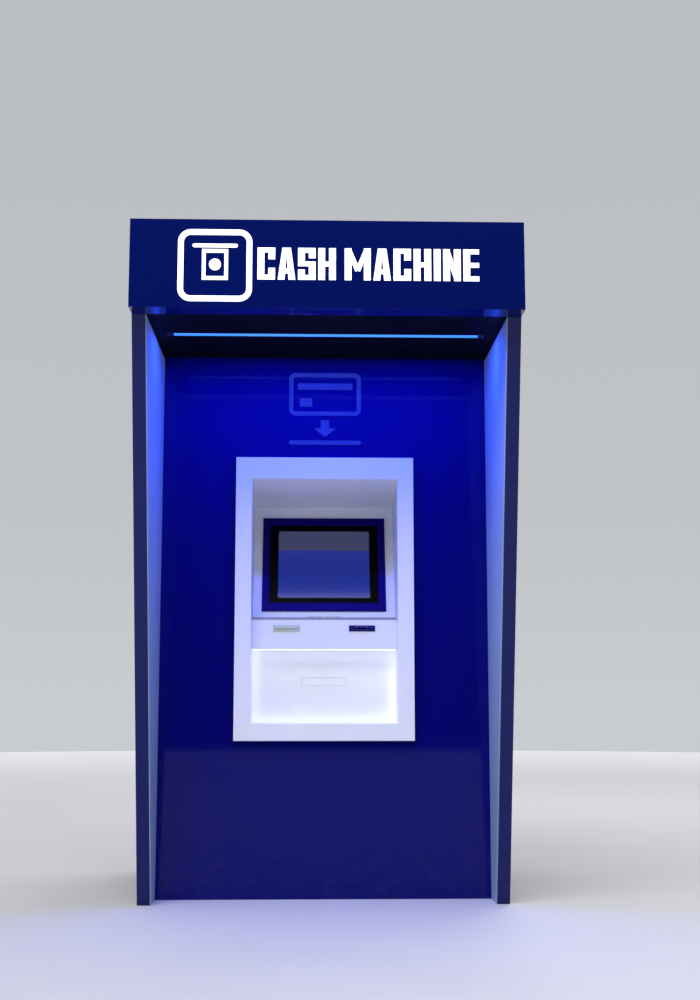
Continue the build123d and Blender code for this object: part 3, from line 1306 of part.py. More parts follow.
os.makedirs("parts", exist_ok=True)
plinth()
floor_pan()
side_panel("side_panel_left", True)
side_panel("side_panel_right", False)
side_liner("side_liner_left", True)
side_liner("side_liner_right", False)
front_wall()
roof_panel()
header_box()
header_sign()
soffit()
wall_sign()
rear_frame()
rear_door()
rear_hinges()
rear_door_handle()
vent_fan()
fascia_surround()
recess_liner()
screen()
shelf_console()
keypad_shelf()
keypad()
card_reader()
receipt_printer()
lower_panel()
safe_body()
safe_door()
safe_lock()
cash_dispenser()
cash_cassettes()
atm_chassis()
pc_core()
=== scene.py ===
"""Walk-up cash machine in a canopy housing: finishes, small fittings, lights and camera.

Metres, in the frame of the CAD part: +Z is up, the front faces -Y, the origin is on the floor.
"""

import math

import bmesh
import bpy
from mathutils import Matrix, Vector

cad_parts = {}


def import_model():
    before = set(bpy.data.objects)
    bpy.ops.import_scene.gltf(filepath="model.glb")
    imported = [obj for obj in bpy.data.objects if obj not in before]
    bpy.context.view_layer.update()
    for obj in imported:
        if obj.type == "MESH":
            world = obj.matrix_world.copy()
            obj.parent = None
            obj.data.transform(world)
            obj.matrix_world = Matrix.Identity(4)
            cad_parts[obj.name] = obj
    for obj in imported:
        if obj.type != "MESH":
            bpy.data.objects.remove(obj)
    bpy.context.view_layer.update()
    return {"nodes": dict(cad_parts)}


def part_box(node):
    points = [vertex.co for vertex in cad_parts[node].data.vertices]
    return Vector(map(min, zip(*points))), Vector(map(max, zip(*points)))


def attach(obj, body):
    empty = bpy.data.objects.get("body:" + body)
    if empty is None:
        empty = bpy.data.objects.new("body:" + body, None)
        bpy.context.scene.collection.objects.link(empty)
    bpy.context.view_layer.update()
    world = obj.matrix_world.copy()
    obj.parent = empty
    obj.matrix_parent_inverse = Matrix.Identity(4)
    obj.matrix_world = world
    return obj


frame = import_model()
NODES = frame["nodes"]
MM = 0.001

# ---------------------------------------------------------------- paints and other colours, linear
NAVY = (0.0006, 0.0058, 0.106, 1)
# the navy paint made bluer and a little redder for the front wall: painted light of the canopy's blue
# lamp
WALL_NAVY_LAMPLIT = (0.0012, 0.0020, 0.132, 1)
LINING_WHITE = (0.84, 0.85, 0.87, 1)
PRINTER_GREEN = (0.52, 0.62, 0.48, 1)
READER_NAVY = (0.010, 0.010, 0.140, 1)
# the white lining made darker and bluer for the side liners: painted shade and painted blue lamp light
SIDE_LINING_SHADED = (0.37, 0.49, 0.60, 1)
FASCIA_WHITE = (0.90, 0.92, 0.92, 1)
SCREEN_BLUE = (0.0075, 0.0012, 0.125, 1)
LAMP_BLUE = (0.026, 0.27, 0.90, 1)
SIGN_BLUE = (0.022, 0.040, 0.24, 1)
SHELF_GREY = (0.34, 0.34, 0.36, 1)
DISPLAY_BLUE = (0.018, 0.034, 0.30, 1)
# grey of the painted hood shadow across the top of the display's picture
HOOD_SHADOW_GREY = (0.055, 0.058, 0.115, 1)

# ---------------------------------------------------------------- camera
CAMERA_PLACE = (-0.0614, -5.596, 0.7732)
CAMERA_YAW = 0.0295
CAMERA_PITCH = 0.1406
LENS = 50.0
LONG_SIDE = 36.0
FARTHEST = 200.0

# ---------------------------------------------------------------- stage and lights
FLOOR_RADIUS = 15.0
DOME_LOW = 0.30  # sine of the height where the dome starts to brighten
DOME_HIGH = 0.62  # and where it stops
DOME_POWER = 0.70
DOME_BASE = 0.06
SOFTBOX_SIZE = (5.0, 3.0)
SOFTBOX_PLACE = (-1.6, -4.6, 6.4)
SOFTBOX_AIM = (0.0, 0.0, 1.0)
SOFTBOX_POWER = 320.0
REAR_SOFTBOX_PLACE = (2.6, 4.6, 5.2)
REAR_SOFTBOX_POWER = 140.0
CANOPY_LAMP_POWER = 21.0
CANOPY_LAMP_COLOUR = (0.012, 0.062, 1.0)
ALCOVE_LAMP_POWER = 0.12
ALCOVE_LAMP_COLOUR = (0.85, 0.88, 1.0)
EDGE_LAMP_POWER = 0.018
FOOT_LAMP_POWER = 0.0288
WHITE = (1.0, 1.0, 1.0)

# ---------------------------------------------------------------- directions and shared colours
UP = (0, 0, 1)
FRONT = (0, -1, 0)
BACK = (0, 1, 0)
RIGHT = (1, 0, 0)
UNLIT = (0, 0, 0, 1)
ZINC_DARK = (0.42, 0.44, 0.46, 1)
ZINC_PALE = (0.60, 0.62, 0.64, 1)

# ---------------------------------------------------------------- textures, in repeats to the metre
ORANGE_PEEL = 420.0
PAINT_SPECKS = 160.0
DUST_SPLASHES = 28.0
DUST_HEIGHT = (0.02, 0.42)
DUST_COLOUR = (0.20, 0.19, 0.17, 1)
POWDER_GRAIN = 1500.0
SCUFFS = 55.0
SPARK_GRAIN = 1800.0
HAND_RUBBED = 14.0
BRUSH_ALONG = 30.0
BRUSH_ACROSS = 1400.0
STAINS = 18.0
SPANGLES = 85.0
FINE_SPANGLES = 60.0
DULL_PATCHES = 5.0
SCRATCHES = 260.0
RUBBER_GRAIN = 900.0
OPAL_GRAIN = 700.0
LAMP_UNEVENNESS = 9.0
CAST_UNEVENNESS = 12.0
CAST_RIPPLE = 240.0
DISPLAY_DOTS = 900.0
PAPER_FIBRES = 500.0
PAPER_TURNS = 300.0
FLOOR_MOTTLE = 2.0
FLOOR_GRAIN = 300.0

# ---------------------------------------------------------------- depths of the textures
PEEL_DEPTH = 0.01 * MM
POWDER_DEPTH = 0.1 * MM
SPARK_DEPTH = 0.12 * MM
BRUSH_DEPTH = 0.04 * MM
SPANGLE_DEPTH = 0.05 * MM
SCRATCH_DEPTH = 0.02 * MM
RUBBER_DEPTH = 0.1 * MM
FINE_DEPTH = 0.05 * MM
FLOOR_DEPTH = 0.1 * MM

# ---------------------------------------------------------------- floor and backdrop
FLOOR_SEGMENTS = 128
FLOOR_DARK = (0.59, 0.595, 0.63, 1)
FLOOR_PALE = (0.63, 0.635, 0.67, 1)
FLOOR_GLOW = (0.42, 0.43, 0.455, 1)
FLOOR_FADE = (0.3, 16.0)  # from where to where the floor brightens towards the backdrop
HORIZON = 0.5  # the backdrop's ramp is half below the horizon, half above it
BACKDROP = (
    (0.478, (0.78, 0.80, 0.84, 1)),
    (0.488, (0.64, 0.66, 0.70, 1)),
    (0.50, (0.58, 0.60, 0.63, 1)),
    (0.56, (0.53, 0.55, 0.58, 1)),
    (0.70, (0.495, 0.51, 0.545, 1)),
)

# ---------------------------------------------------------------- rounded edges
EDGE_ROUNDS = {
    "header_box": 1.5 * MM,
    "front_wall": 1.0 * MM,
    "side_panel_left": 1.5 * MM,
    "side_panel_right": 1.5 * MM,
    "side_liner_left": 0.8 * MM,
    "side_liner_right": 0.8 * MM,
    "fascia_surround": 1.2 * MM,
    "recess_liner": 1.5 * MM,
    "screen_frame": 1.0 * MM,
    "shelf_console": 1.2 * MM,
    "keypad_shelf": 1.5 * MM,
    "lower_panel": 0.5 * MM,
    "rear_door": 0.9 * MM,
    "roof_panel": 1.0 * MM,
    "pc_core": 1.5 * MM,
    "plinth": 1.0 * MM,
    "rear_door_handle": 2.0 * MM,
    "safe_handle": 1.0 * MM,
    "safe_body": 1.5 * MM,
    "safe_door": 1.5 * MM,
    "card_reader": 0.5 * MM,
    "receipt_printer": 0.5 * MM,
    "pinpad_housing": 0.5 * MM,
    "cash_dispenser": 0.5 * MM,
    "cash_cassettes": 1.0 * MM,
    "atm_chassis": 0.6 * MM,
    "screen_bezel": 0.6 * MM,
    "vent_fan_housing": 0.8 * MM,
}
KEY_COUNT = 16
KEY_ROUND = 0.4 * MM
WELD_REACH = 0.01 * MM
JOIN_REACH = 0.0001 * MM
ROD_CHAMFER = 0.4 * MM

# ---------------------------------------------------------------- how finely round things are drawn
TURNED_SIDES = 32
ROD_SIDES = 24
LOOP_SIDES = 40
WIRE_SIDES = 8
SCREW_SIDES = 18
PIP_SIDES = 12
SMALL_SIDES = 20
MOTOR_SIDES = 40
DIAL_SIDES = 48
NUT_SIDES = 6
TOOTH_POINTS = 4
BLOCK_ROUND_STEPS = 2
HARD_EDGE = math.radians(40)
SMOOTH_BELOW = math.radians(30)

# ---------------------------------------------------------------- display
FACES_FORWARD = -0.5  # a normal's Y on a face that looks at the customer
PICTURE_GLOW = 0.85
GLASS_BLACK = (0.004, 0.004, 0.006, 1)
PICTURE_HALF = (189.5 * MM, 152.5 * MM)
PICTURE_CORNER = 10.0 * MM
PICTURE_SOFTNESS = 1.5 * MM
GLASS_DEPTH = (-6.5 * MM, -5.5 * MM)  # behind the first is the case, before the second the glass
# where the painted hood shadow begins on the picture, up the screen's slope from its middle
HOOD_SHADOW_EDGE = (62.0 * MM, 64.0 * MM)
PICTURE_SHADE = (-150.0 * MM, -20.0 * MM)
CASE_BACK = -61.5 * MM
VENT_COUNT = 12
VENT_FIRST = -55.0 * MM
VENT_PITCH = 10.0 * MM
VENT_HALF = Vector((90.0, 1.8, 1.8)) * MM
VENT_ROUND = 1.0 * MM
BOSS_X = 50.0 * MM
BOSS_RISE = 100.0 * MM
BOSS_SEAT = 1.0 * MM

# ---------------------------------------------------------------- screws, radius of the head
SCREW_HEAD = ((0, 0), (0, 1), (0.275, 0.94), (0.55, 0.62), (0.55, 0.5), (0.1375, 0.45), (0.1375, 0))
PANEL_SCREW = 4.0 * MM
FAN_SCREW = 3.4 * MM
DOOR_SCREW = 3.2 * MM
CASE_SCREW = 3.0 * MM
KEYPAD_SCREW = 2.2 * MM

# ---------------------------------------------------------------- keypad
KEY_LEGENDS = {1: "1", 2: "2", 3: "3", 5: "4", 6: "5", 7: "6", 9: "7", 10: "8", 11: "9", 14: "0"}
KEY_INLAYS = {4: "cancel_red", 8: "clear_yellow", 12: "enter_green"}
LEGEND_HEIGHT = 9.0 * MM
LEGEND_BOLD = 0.3 * MM
LEGEND_RISE = 0.06 * MM
INLAY_INSET = 4.0 * MM
INLAY_FOOT = 0.05 * MM
INLAY_TOP = 0.3 * MM
INLAY_ROUND = 0.12 * MM
PIP_KEY = "key_06"
PIP_BELOW = 5.5 * MM
KEYPAD_SCREW_INSET = 4.5 * MM

# ---------------------------------------------------------------- receipt and card slots
SLOT_X = 151.0 * MM
SLOT_Z = 1043.0 * MM
RECEIPT_HALF = 42.0 * MM
RECEIPT_GAP = 0.8 * MM
LIP_HEIGHT = 6.2 * MM
LIP_SHOULDER = (1.2 * MM, 4.8 * MM)
LIP_REACH = 2.2 * MM
LIP_SEAT = 0.2 * MM
TEAR_TEETH = 42
TEAR_DEPTH = 1.2 * MM
TEAR_BACK = 1.2 * MM
TEAR_THICKNESS = 0.6 * MM
TEAR_TIP = 0.4 * MM
TEAR_RISE = 1.4 * MM
CARD_HALF = 29.0 * MM
GUIDE_WIDTH = 12.0 * MM
GUIDE_HALF_HEIGHT = 6.0 * MM
GUIDE_REACH = 2.5 * MM
GUIDE_SEAT = 0.8 * MM
GUIDE_ROUND = 1.1 * MM
SILL_DEPTHS = (8.8 * MM, 4.6 * MM)
SILL_REACH = 1.8 * MM
SILL_ROUND = 0.8 * MM
SLOT_LAMP_PITCH = 19.0 * MM
SLOT_LAMP_HALF = 5.5 * MM
SLOT_LAMP_HEIGHTS = (4.8 * MM, 7.8 * MM)
SLOT_LAMP_REACH = 0.9 * MM
SLOT_LAMP_SEAT = 0.6 * MM
SLOT_LAMP_ROUND = 0.4 * MM

# ---------------------------------------------------------------- lamp under the console, sealant
LAMP_END = 4.0 * MM
CHANNEL_SPAN = (4.0 * MM, 18.0 * MM)  # from the console's front
CHANNEL_DEPTH = 3.5 * MM
CHANNEL_ROUND = 0.8 * MM
STRIP_END = 5.0 * MM
STRIP_SPAN = (3.0 * MM, 16.0 * MM)
STRIP_DROP = 1.2 * MM
STRIP_SEAT = 1.4 * MM
STRIP_ROUND = 0.7 * MM
HOOD_BEAD_RISE = 260.6 * MM  # up the screen's slope from the bezel's middle
HOOD_BEAD_OUT = 0.8 * MM
HOOD_BEAD_RADIUS = 3.8 * MM
SHELF_BEAD_SEAT = 1.0 * MM
SHELF_BEAD_RADIUS = 2.2 * MM

# ---------------------------------------------------------------- canopy and side panels
CAP_LENGTH = 12.0 * MM
CAP_OVERLAP = 4.0 * MM
CAP_DROP = 2.0 * MM
CAP_SEAT = 1.0 * MM
CAP_ROUND = 0.8 * MM
HATCH_HALF = 300.0 * MM
HATCH_FROM_FOOT = 75.0 * MM
HATCH_FROM_TOP = 45.0 * MM
HATCH_RISE = 2.2 * MM
HATCH_SEAT = 0.5 * MM
HATCH_ROUND = 0.9 * MM
HATCH_SCREW_INSET = 14.0 * MM
HEADER_SCREWS = 9
HEADER_SCREW_END = 20.0 * MM
HEADER_SCREW_DROP = 14.0 * MM
SEAM_COUNT = 5
SEAM_PITCH = 233.0 * MM
SEAM_OUTLINE = ((-7.0, 0.0), (-3.0, 3.0), (-3.0, 14.0), (3.0, 14.0), (3.0, 3.0), (7.0, 0.0))
SEAM_END = 4.0 * MM
SEAM_SEAT = 0.3 * MM
ROOF_SCREWS = 7
ROOF_SCREW_END = 30.0 * MM
ROOF_SCREW_DROP = 15.0 * MM
SIDE_SCREWS = 8
SIDE_SCREW_END = 60.0 * MM
SIDE_SCREW_EDGE = 22.0 * MM
SIDE_SCREW_SEAT = 0.4 * MM
FOOT_SCREWS = 5
FOOT_SCREW_FIRST = -160.0 * MM
FOOT_SCREW_HEIGHT = 30.0 * MM

# ---------------------------------------------------------------- rear door
LOUVRE_COUNT = 9
LOUVRE_PITCH = 14.0 * MM
LOUVRE_HALF = 120.0 * MM
LOUVRE_GAP = 3.0 * MM
INTAKE_RISE = 240.0 * MM
HOOD_REACH = 7.0 * MM
HOOD_SHEET = 1.0 * MM
HOOD_STEPS = 6
SEAL_WIDTH = 12.0 * MM
SEAL_THICKNESS = 1.8 * MM
SEAL_EDGE = 4.0 * MM
SEAL_TOP_EDGE = 2.0 * MM
SEAL_ROUND = 0.6 * MM
LEVER_LENGTH = 120.0 * MM
LOCK_RISE = 46.0 * MM
KEYWAY_RISE = 3.0 * MM
KEYWAY_HALF = Vector((0.8, 0.2, 4.5)) * MM
KEYWAY_ROUND = 0.1 * MM
LOCK_CASE_HALF = (14.0 * MM, 67.0 * MM)
HINGE_COUNT = 3
HINGE_RADIUS = 8.0 * MM
HINGE_END = 210.0 * MM
STRAP_SPAN = (-1.0 * MM, 30.0 * MM)
STRAP_HEIGHTS = (1.0 * MM, 44.0 * MM)
STRAP_SEAT = 0.6 * MM
STRAP_RISE = 2.6 * MM
STRAP_ROUND = 0.9 * MM
STRAP_SCREW_X = 16.0 * MM
STRAP_SCREW_HEIGHTS = (10.0 * MM, 22.0 * MM, 34.0 * MM)

# ---------------------------------------------------------------- wire guards of both fans
GUARD_GAP = 1.4 * MM
GUARD_RINGS = (14.0 * MM, 24.0 * MM, 34.0 * MM, 44.0 * MM, 53.0 * MM)
GUARD_WIRE = 0.8 * MM
GUARD_CROSS = (12.0 * MM, 74.0 * MM)
GUARD_CROSS_GAP = 1.2 * MM
FAN_SCREW_REACH = 74.2 * MM
GRILLE_FROM_EDGE = 75.0 * MM
GRILLE_RISE = 235.0 * MM
GRILLE_GAP = 1.0 * MM
GRILLE_RINGS = (12.0 * MM, 22.0 * MM, 32.0 * MM, 42.0 * MM, 50.0 * MM)
GRILLE_WIRE = 0.9 * MM
GRILLE_CROSS = (10.0 * MM, 56.0 * MM)
GRILLE_SCREW_REACH = 60.0 * MM
WIRE_END = 0.2 * MM

# ---------------------------------------------------------------- safe's dial
SAFE_FACE = 723.0 * MM
DIAL_FROM_KNOB = Vector((-200.0, 0.0, -20.0)) * MM
DIAL_SEAT = 1.0 * MM
DIAL_MARKS = 50
DIAL_LONG_EVERY = 5
MARK_LONG = 5.0 * MM
MARK_SHORT = 2.8 * MM
MARK_THICKNESS = 0.2 * MM
MARK_HALF_WIDTH = 0.35 * MM
MARK_ROUND = 0.05 * MM
MARK_RADIUS = 37.5 * MM
MARK_RISE = 6.1 * MM

# ---------------------------------------------------------------- cassettes
CASSETTE_COUNT = 4
CASSETTE_HEIGHT = 130.0 * MM
CASSETTE_HANDLE_DEPTH = 12.0 * MM
CASSETTE_SEAT = 1.0 * MM
LATCH_SPAN = (38.0 * MM, 20.0 * MM)  # from the right edge
LATCH_HEIGHTS = (50.0 * MM, 80.0 * MM)
LATCH_RISE = 7.0 * MM
LATCH_ROUND = 1.8 * MM
LATCH_BUTTON = (29.0 * MM, 70.0 * MM)
HOLDER_HALF = 50.0 * MM
HOLDER_HEIGHTS = (92.0 * MM, 118.0 * MM)
HOLDER_RISE = 2.0 * MM
HOLDER_ROUND = 0.7 * MM
LABEL_HALF = 46.0 * MM
LABEL_HEIGHTS = (95.0 * MM, 115.0 * MM)
LABEL_SPAN = (1.0 * MM, 2.4 * MM)
LABEL_ROUND = 0.2 * MM
RIB_COUNT = 7
RIB_FIRST = 16.0 * MM
RIB_PITCH = 6.0 * MM
RIB_WIDTH = 2.2 * MM
RIB_HEIGHTS = (12.0 * MM, 118.0 * MM)
RIB_RISE = 2.5 * MM
RIB_ROUND = 0.7 * MM

# ---------------------------------------------------------------- dispenser
GEARS = ((300.0, 660.0, 30.0, 30), (345.0, 705.0, 26.0, 26), (400.0, 675.0, 34.0, 34))
GEAR_THICKNESS = 6.0 * MM
GEAR_GAP = 2.0 * MM
GEAR_HUB = 0.32  # shares of the gear's radius
GEAR_HUB_END = 0.30
GEAR_BORE = 0.12
TOOTH_DEPTH = 2.2  # shares of the tooth pitch on the diameter
MOTOR_PLACE = (470.0 * MM, 660.0 * MM)
ROLLER_COUNT = 4
ROLLER_FIRST = 125.0 * MM
ROLLER_PITCH = 22.0 * MM
ROLLER_LIFT = 0.5 * MM
SHAFT_HALF = 72.0 * MM
SHAFT_RADIUS = 4.5 * MM
TYRE_PLACES = (-45.0 * MM, 0.0, 45.0 * MM)
TYRE_HALF = 10.0 * MM
TYRE_RADIUS = 6.5 * MM

# ---------------------------------------------------------------- computer
PANEL_SEAT = 0.5 * MM
PANEL_RISE = 1.5 * MM
PANEL_ROUND = 0.5 * MM
PORT_PANEL_SPAN = (20.0 * MM, 70.0 * MM)
PORT_PANEL_HEIGHTS = (160.0 * MM, 310.0 * MM)
PORT_COUNT = 6
PORT_X = 45.0 * MM
PORT_FIRST = 172.0 * MM
PORT_PITCH = 22.0 * MM
PORT_WIDTHS = (19.0 * MM, 13.0 * MM)
PORT_HEIGHT = 12.0 * MM
PORT_SPAN = (1.0 * MM, 4.0 * MM)
PORT_ROUND = 0.8 * MM
CARD_COUNT = 7
CARD_FIRST = 100.0 * MM
CARD_PITCH = 20.5 * MM
CARD_WIDTH = 17.5 * MM
CARD_HEIGHTS = (20.0 * MM, 130.0 * MM)
CARD_SCREW = (9.0 * MM, 124.0 * MM)
CASE_SCREW_INSET = (8.0 * MM, 12.0 * MM)

# ---------------------------------------------------------------- cable gland
GLAND_PLACE = (420.0 * MM, 250.0 * MM)
NUT_RISE = 4.0 * MM

# ---------------------------------------------------------------- lamps in the canopy and the alcove
CANOPY_LAMP_DROP = 2.0 * MM
ALCOVE_LAMP_BACK = 20.0 * MM
ALCOVE_LAMP_DROP = 6.0 * MM
ALCOVE_LAMP_LEAN = 0.35
LAMP_WIDTH = 12.0 * MM
EDGE_LAMP_INSET = 10.0 * MM
EDGE_LAMP_FRONT = 30.0 * MM


def in_mm(*profile):
    """A turned part's profile in millimetres: pairs of distance along the axis and radius."""
    return tuple((along * MM, radius * MM) for along, radius in profile)


TOUCH_PIP = in_mm((0, 0), (0, 0.7), (0.3, 0.6), (0.5, 0.3), (0.5, 0))
LOCK_CYLINDER = in_mm((0, 0), (0, 10.5), (1.8, 9.8), (1.8, 7.8), (3, 7.4), (3, 0))
DIAL_RING = in_mm((0, 30), (0, 46), (4, 45), (6, 40), (6, 36), (2, 34))
DIAL = in_mm((0, 0), (0, 34), (6, 33.5), (10, 24), (11, 16), (26, 15), (28, 13), (28, 0))
LATCH = in_mm((0, 0), (0, 5), (1, 4.5), (1, 0))
MOTOR = in_mm((0, 0), (0, 24), (4, 26), (52, 26), (56, 22), (56, 6), (60, 6), (60, 0))
DISPLAY_BOSS = in_mm((0, 0), (0, 8), (6, 7), (6, 3), (1, 2.5), (1, 0))
GLAND_NUT = in_mm((0, 20.2), (0, 29), (8.5, 29), (8.5, 20.2), (0, 20.2))


# ---------------------------------------------------------------- shader helpers
class Value:
    """One output socket in a node tree, with Python's operators for its maths."""

    def __init__(self, graph, socket):
        self.graph = graph
        self.socket = socket

    def math(self, operation, *values):
        return self.graph.add("ShaderNodeMath", values, operation=operation)

    def __add__(self, other):
        return self.math("ADD", self, other)

    def __radd__(self, other):
        return self.math("ADD", other, self)

    def __sub__(self, other):
        return self.math("SUBTRACT", self, other)

    def __rsub__(self, other):
        return self.math("SUBTRACT", other, self)

    def __mul__(self, other):
        return self.math("MULTIPLY", self, other)

    def __rmul__(self, other):
        return self.math("MULTIPLY", other, self)

    def absolute(self):
        return self.math("ABSOLUTE", self)

    def largest(self, other):
        return self.math("MAXIMUM", self, other)

    def root(self):
        return self.math("SQRT", self)


class Graph:
    """The nodes of one material or of the world, added one after another."""

    def __init__(self, owner):
        owner.use_nodes = True
        self.tree = owner.node_tree
        self.tree.nodes.clear()

    def add(self, kind, sockets=(), out=0, stops=(), **settings):
        """Add one node, set it up, and give its sockets their values or links."""
        node = self.tree.nodes.new(kind)
        for setting, value in settings.items():
            setattr(node, setting, value)
        for number, (position, colour) in enumerate(stops):
            elements = node.color_ramp.elements
            stop = elements[number] if number < len(elements) else elements.new(position)
            stop.position = position
            stop.color = colour
        named = sockets.items() if isinstance(sockets, dict) else enumerate(sockets)
        for socket, value in named:
            if isinstance(value, Value):
                self.tree.links.new(value.socket, node.inputs[socket])
            else:
                node.inputs[socket].default_value = value
        return Value(self, node.outputs[out])

    def place(self):
        return self.add("ShaderNodeTexCoord", out="Object")

    def axis(self, name):
        return self.add("ShaderNodeSeparateXYZ", [self.place()], out=name)

    def stretched(self, factors):
        return self.add("ShaderNodeVectorMath", [self.place(), factors], operation="MULTIPLY")

    def along(self, direction, origin):
        """Distance of a point from the origin in one direction."""
        offset = self.add("ShaderNodeVectorMath", [self.place(), origin], operation="SUBTRACT")
        return self.add(
            "ShaderNodeVectorMath", [offset, direction], out="Value", operation="DOT_PRODUCT"
        )

    def noise(self, scale, detail=2.0, where=None):
        where = where or self.place()
        sockets = {"Vector": where, "Scale": scale, "Detail": detail}
        return self.add("ShaderNodeTexNoise", sockets, out="Fac")

    def cells(self, scale, out="Distance", where=None):
        where = where or self.place()
        return self.add("ShaderNodeTexVoronoi", {"Vector": where, "Scale": scale}, out=out)

    def step(self, value, low, high):
        """0 below low, 1 above high, and a smooth rise between them."""
        sockets = {"Value": value, "From Min": low, "From Max": high}
        return self.add("ShaderNodeMapRange", sockets, interpolation_type="SMOOTHSTEP")

    def span(self, value, low, high):
        """A value from 0 to 1 brought to the range from low to high."""
        sockets = {"Value": value, "To Min": low, "To Max": high}
        return self.add("ShaderNodeMapRange", sockets)

    def mix(self, factor, first, second):
        """The first colour where the factor is 0, the second where it is 1."""
        sockets = {0: factor, 6: first, 7: second}
        return self.add("ShaderNodeMix", sockets, out=2, data_type="RGBA")

    def bump(self, height, distance, strength=1.0):
        sockets = {"Strength": strength, "Distance": distance, "Height": height}
        return self.add("ShaderNodeBump", sockets)

    def end(self, kind, shader):
        output = self.tree.nodes.new(kind)
        self.tree.links.new(shader.socket, output.inputs["Surface"])

    def surface(self, sockets):
        self.end("ShaderNodeOutputMaterial", self.add("ShaderNodeBsdfPrincipled", sockets))


def shade(colour, factor):
    """The same colour, lighter or darker."""
    return tuple(part * factor for part in colour[:3]) + (1,)


# ---------------------------------------------------------------- finishes
FINISHES = {}


def finish(name):
    """Start a new material and keep it under its name."""
    FINISHES[name] = bpy.data.materials.new(name)
    return Graph(FINISHES[name])


def paint(name, colour, gloss=0.03, shine=0.4, dirt=0.15):
    """Sprayed gloss paint on sheet: orange peel, wiping marks, scuffs, and dust near the floor."""
    g = finish(name)
    peel = g.noise(ORANGE_PEEL, 2.0)
    wiped = g.noise(3.0, 3.0, g.stretched((1.0, 1.0, 0.35)))
    specks = g.step(g.noise(PAINT_SPECKS, 4.0), 0.66, 0.74)
    low = 1 - g.step(g.axis("Z"), *DUST_HEIGHT)
    splashes = g.step(g.noise(DUST_SPLASHES, 5.0), 0.42, 0.72)
    dust = (low * splashes) * dirt
    tone = g.mix(g.span(wiped, 0.0, 0.5), colour, shade(colour, 1.16))
    tone = g.mix(specks * 0.25, tone, shade(colour, 1.7))
    tone = g.mix(dust * 0.16, tone, DUST_COLOUR)
    g.surface({
        "Base Color": tone,
        "Roughness": g.span(wiped, gloss, gloss * 1.6) + dust * 0.4,
        "Normal": g.bump(peel, PEEL_DEPTH, 0.35),
        "Specular IOR Level": shine,
    })


def enamel(name, colour, roughness=0.34, shine=0.5):
    """Powder coat or moulded gel coat: a fine even texture, faint smears and small scuffs."""
    g = finish(name)
    grain = g.noise(POWDER_GRAIN, 2.0)
    smears = g.noise(6.0, 4.0, g.stretched((1.0, 1.0, 0.5)))
    scuffs = g.step(g.noise(SCUFFS, 6.0, g.stretched((1.0, 1.0, 4.0))), 0.64, 0.70)
    tone = g.mix(g.span(smears, 0.0, 1.0), shade(colour, 0.93), colour)
    tone = g.mix(scuffs * 0.22, tone, shade(colour, 0.62))
    g.surface({
        "Base Color": tone,
        "Roughness": g.span(smears, roughness * 0.8, roughness * 1.25),
        "Normal": g.bump(grain, POWDER_DEPTH, 0.25),
        "Specular IOR Level": shine,
    })


def moulded(name, colour, roughness=0.45, shine=0.5):
    """Spark-textured plastic, a little polished where hands and parts rub it."""
    g = finish(name)
    grain = g.cells(SPARK_GRAIN)
    rubbed = g.step(g.noise(HAND_RUBBED, 3.0), 0.35, 0.7)
    tone = g.mix(g.noise(40.0, 3.0), shade(colour, 0.88), shade(colour, 1.08))
    g.surface({
        "Base Color": tone,
        "Roughness": g.span(rubbed, roughness * 1.15, roughness * 0.75),
        "Normal": g.bump(grain, SPARK_DEPTH, 0.3),
        "Specular IOR Level": shine,
    })


def brushed(name, colour, direction, roughness=0.26):
    """Brushed metal: fine lines along one direction, with stains and scratches."""
    g = finish(name)
    across = tuple(BRUSH_ALONG if part else BRUSH_ACROSS for part in direction)
    lines = g.noise(1.0, 3.0, g.stretched(across))
    stains = g.noise(STAINS, 4.0)
    tone = g.mix(lines, shade(colour, 0.84), shade(colour, 1.06))
    g.surface({
        "Base Color": tone,
        "Metallic": 1.0,
        "Roughness": g.span(lines, roughness * 0.7, roughness * 1.3) + stains * 0.08,
        "Normal": g.bump(lines, BRUSH_DEPTH, 0.5),
    })


def galvanised():
    """Zinc on steel sheet: spangles of several greys, dulled in patches."""
    g = finish("galvanised")
    spangle = g.cells(SPANGLES, "Color")
    grey = g.add("ShaderNodeSeparateColor", [spangle], out="Red")
    dull = g.step(g.noise(DULL_PATCHES, 4.0), 0.4, 0.7)
    tone = g.mix(grey, ZINC_DARK, ZINC_PALE)
    g.surface({
        "Base Color": g.mix(dull * 0.5, tone, (0.42, 0.42, 0.42, 1)),
        "Metallic": g.span(dull, 0.95, 0.7),
        "Roughness": g.span(grey, 0.28, 0.44) + dull * 0.15,
        "Normal": g.bump(grey, SPANGLE_DEPTH, 0.3),
    })


def plated(name, colour, roughness):
    """Plated or ground steel with fine scratches in all directions."""
    g = finish(name)
    scratches = g.step(g.cells(SCRATCHES, where=g.stretched((1.0, 6.0, 1.0))), 0.02, 0.10)
    haze = g.noise(30.0, 3.0)
    g.surface({
        "Base Color": g.mix(scratches, shade(colour, 0.8), colour),
        "Metallic": 1.0,
        "Roughness": g.span(haze, roughness * 0.7, roughness * 1.5),
        "Normal": g.bump(scratches, SCRATCH_DEPTH, 0.4),
    })


def rubber(name, colour):
    """Matt rubber with a pale bloom on it."""
    g = finish(name)
    grain = g.noise(RUBBER_GRAIN, 3.0)
    bloom = g.noise(25.0, 3.0)
    g.surface({
        "Base Color": g.mix(bloom, colour, shade(colour, 1.9)),
        "Roughness": g.span(bloom, 0.6, 0.85),
        "Normal": g.bump(grain, RUBBER_DEPTH, 0.4),
    })


def lit(name, colour, strength, base=(0.8, 0.8, 0.8, 1)):
    """Opal plastic lit from behind, a little brighter where the lamps sit."""
    g = finish(name)
    lamps = g.noise(LAMP_UNEVENNESS, 1.0)
    grain = g.noise(OPAL_GRAIN, 2.0)
    g.surface({
        "Base Color": g.mix(g.noise(60.0, 2.0), base, shade(base, 0.94)),
        "Roughness": g.span(lamps, 0.30, 0.42),
        "Normal": g.bump(grain, FINE_DEPTH, 0.3),
        "Emission Color": g.mix(lamps, shade(colour, 0.88), colour),
        "Emission Strength": strength,
    })


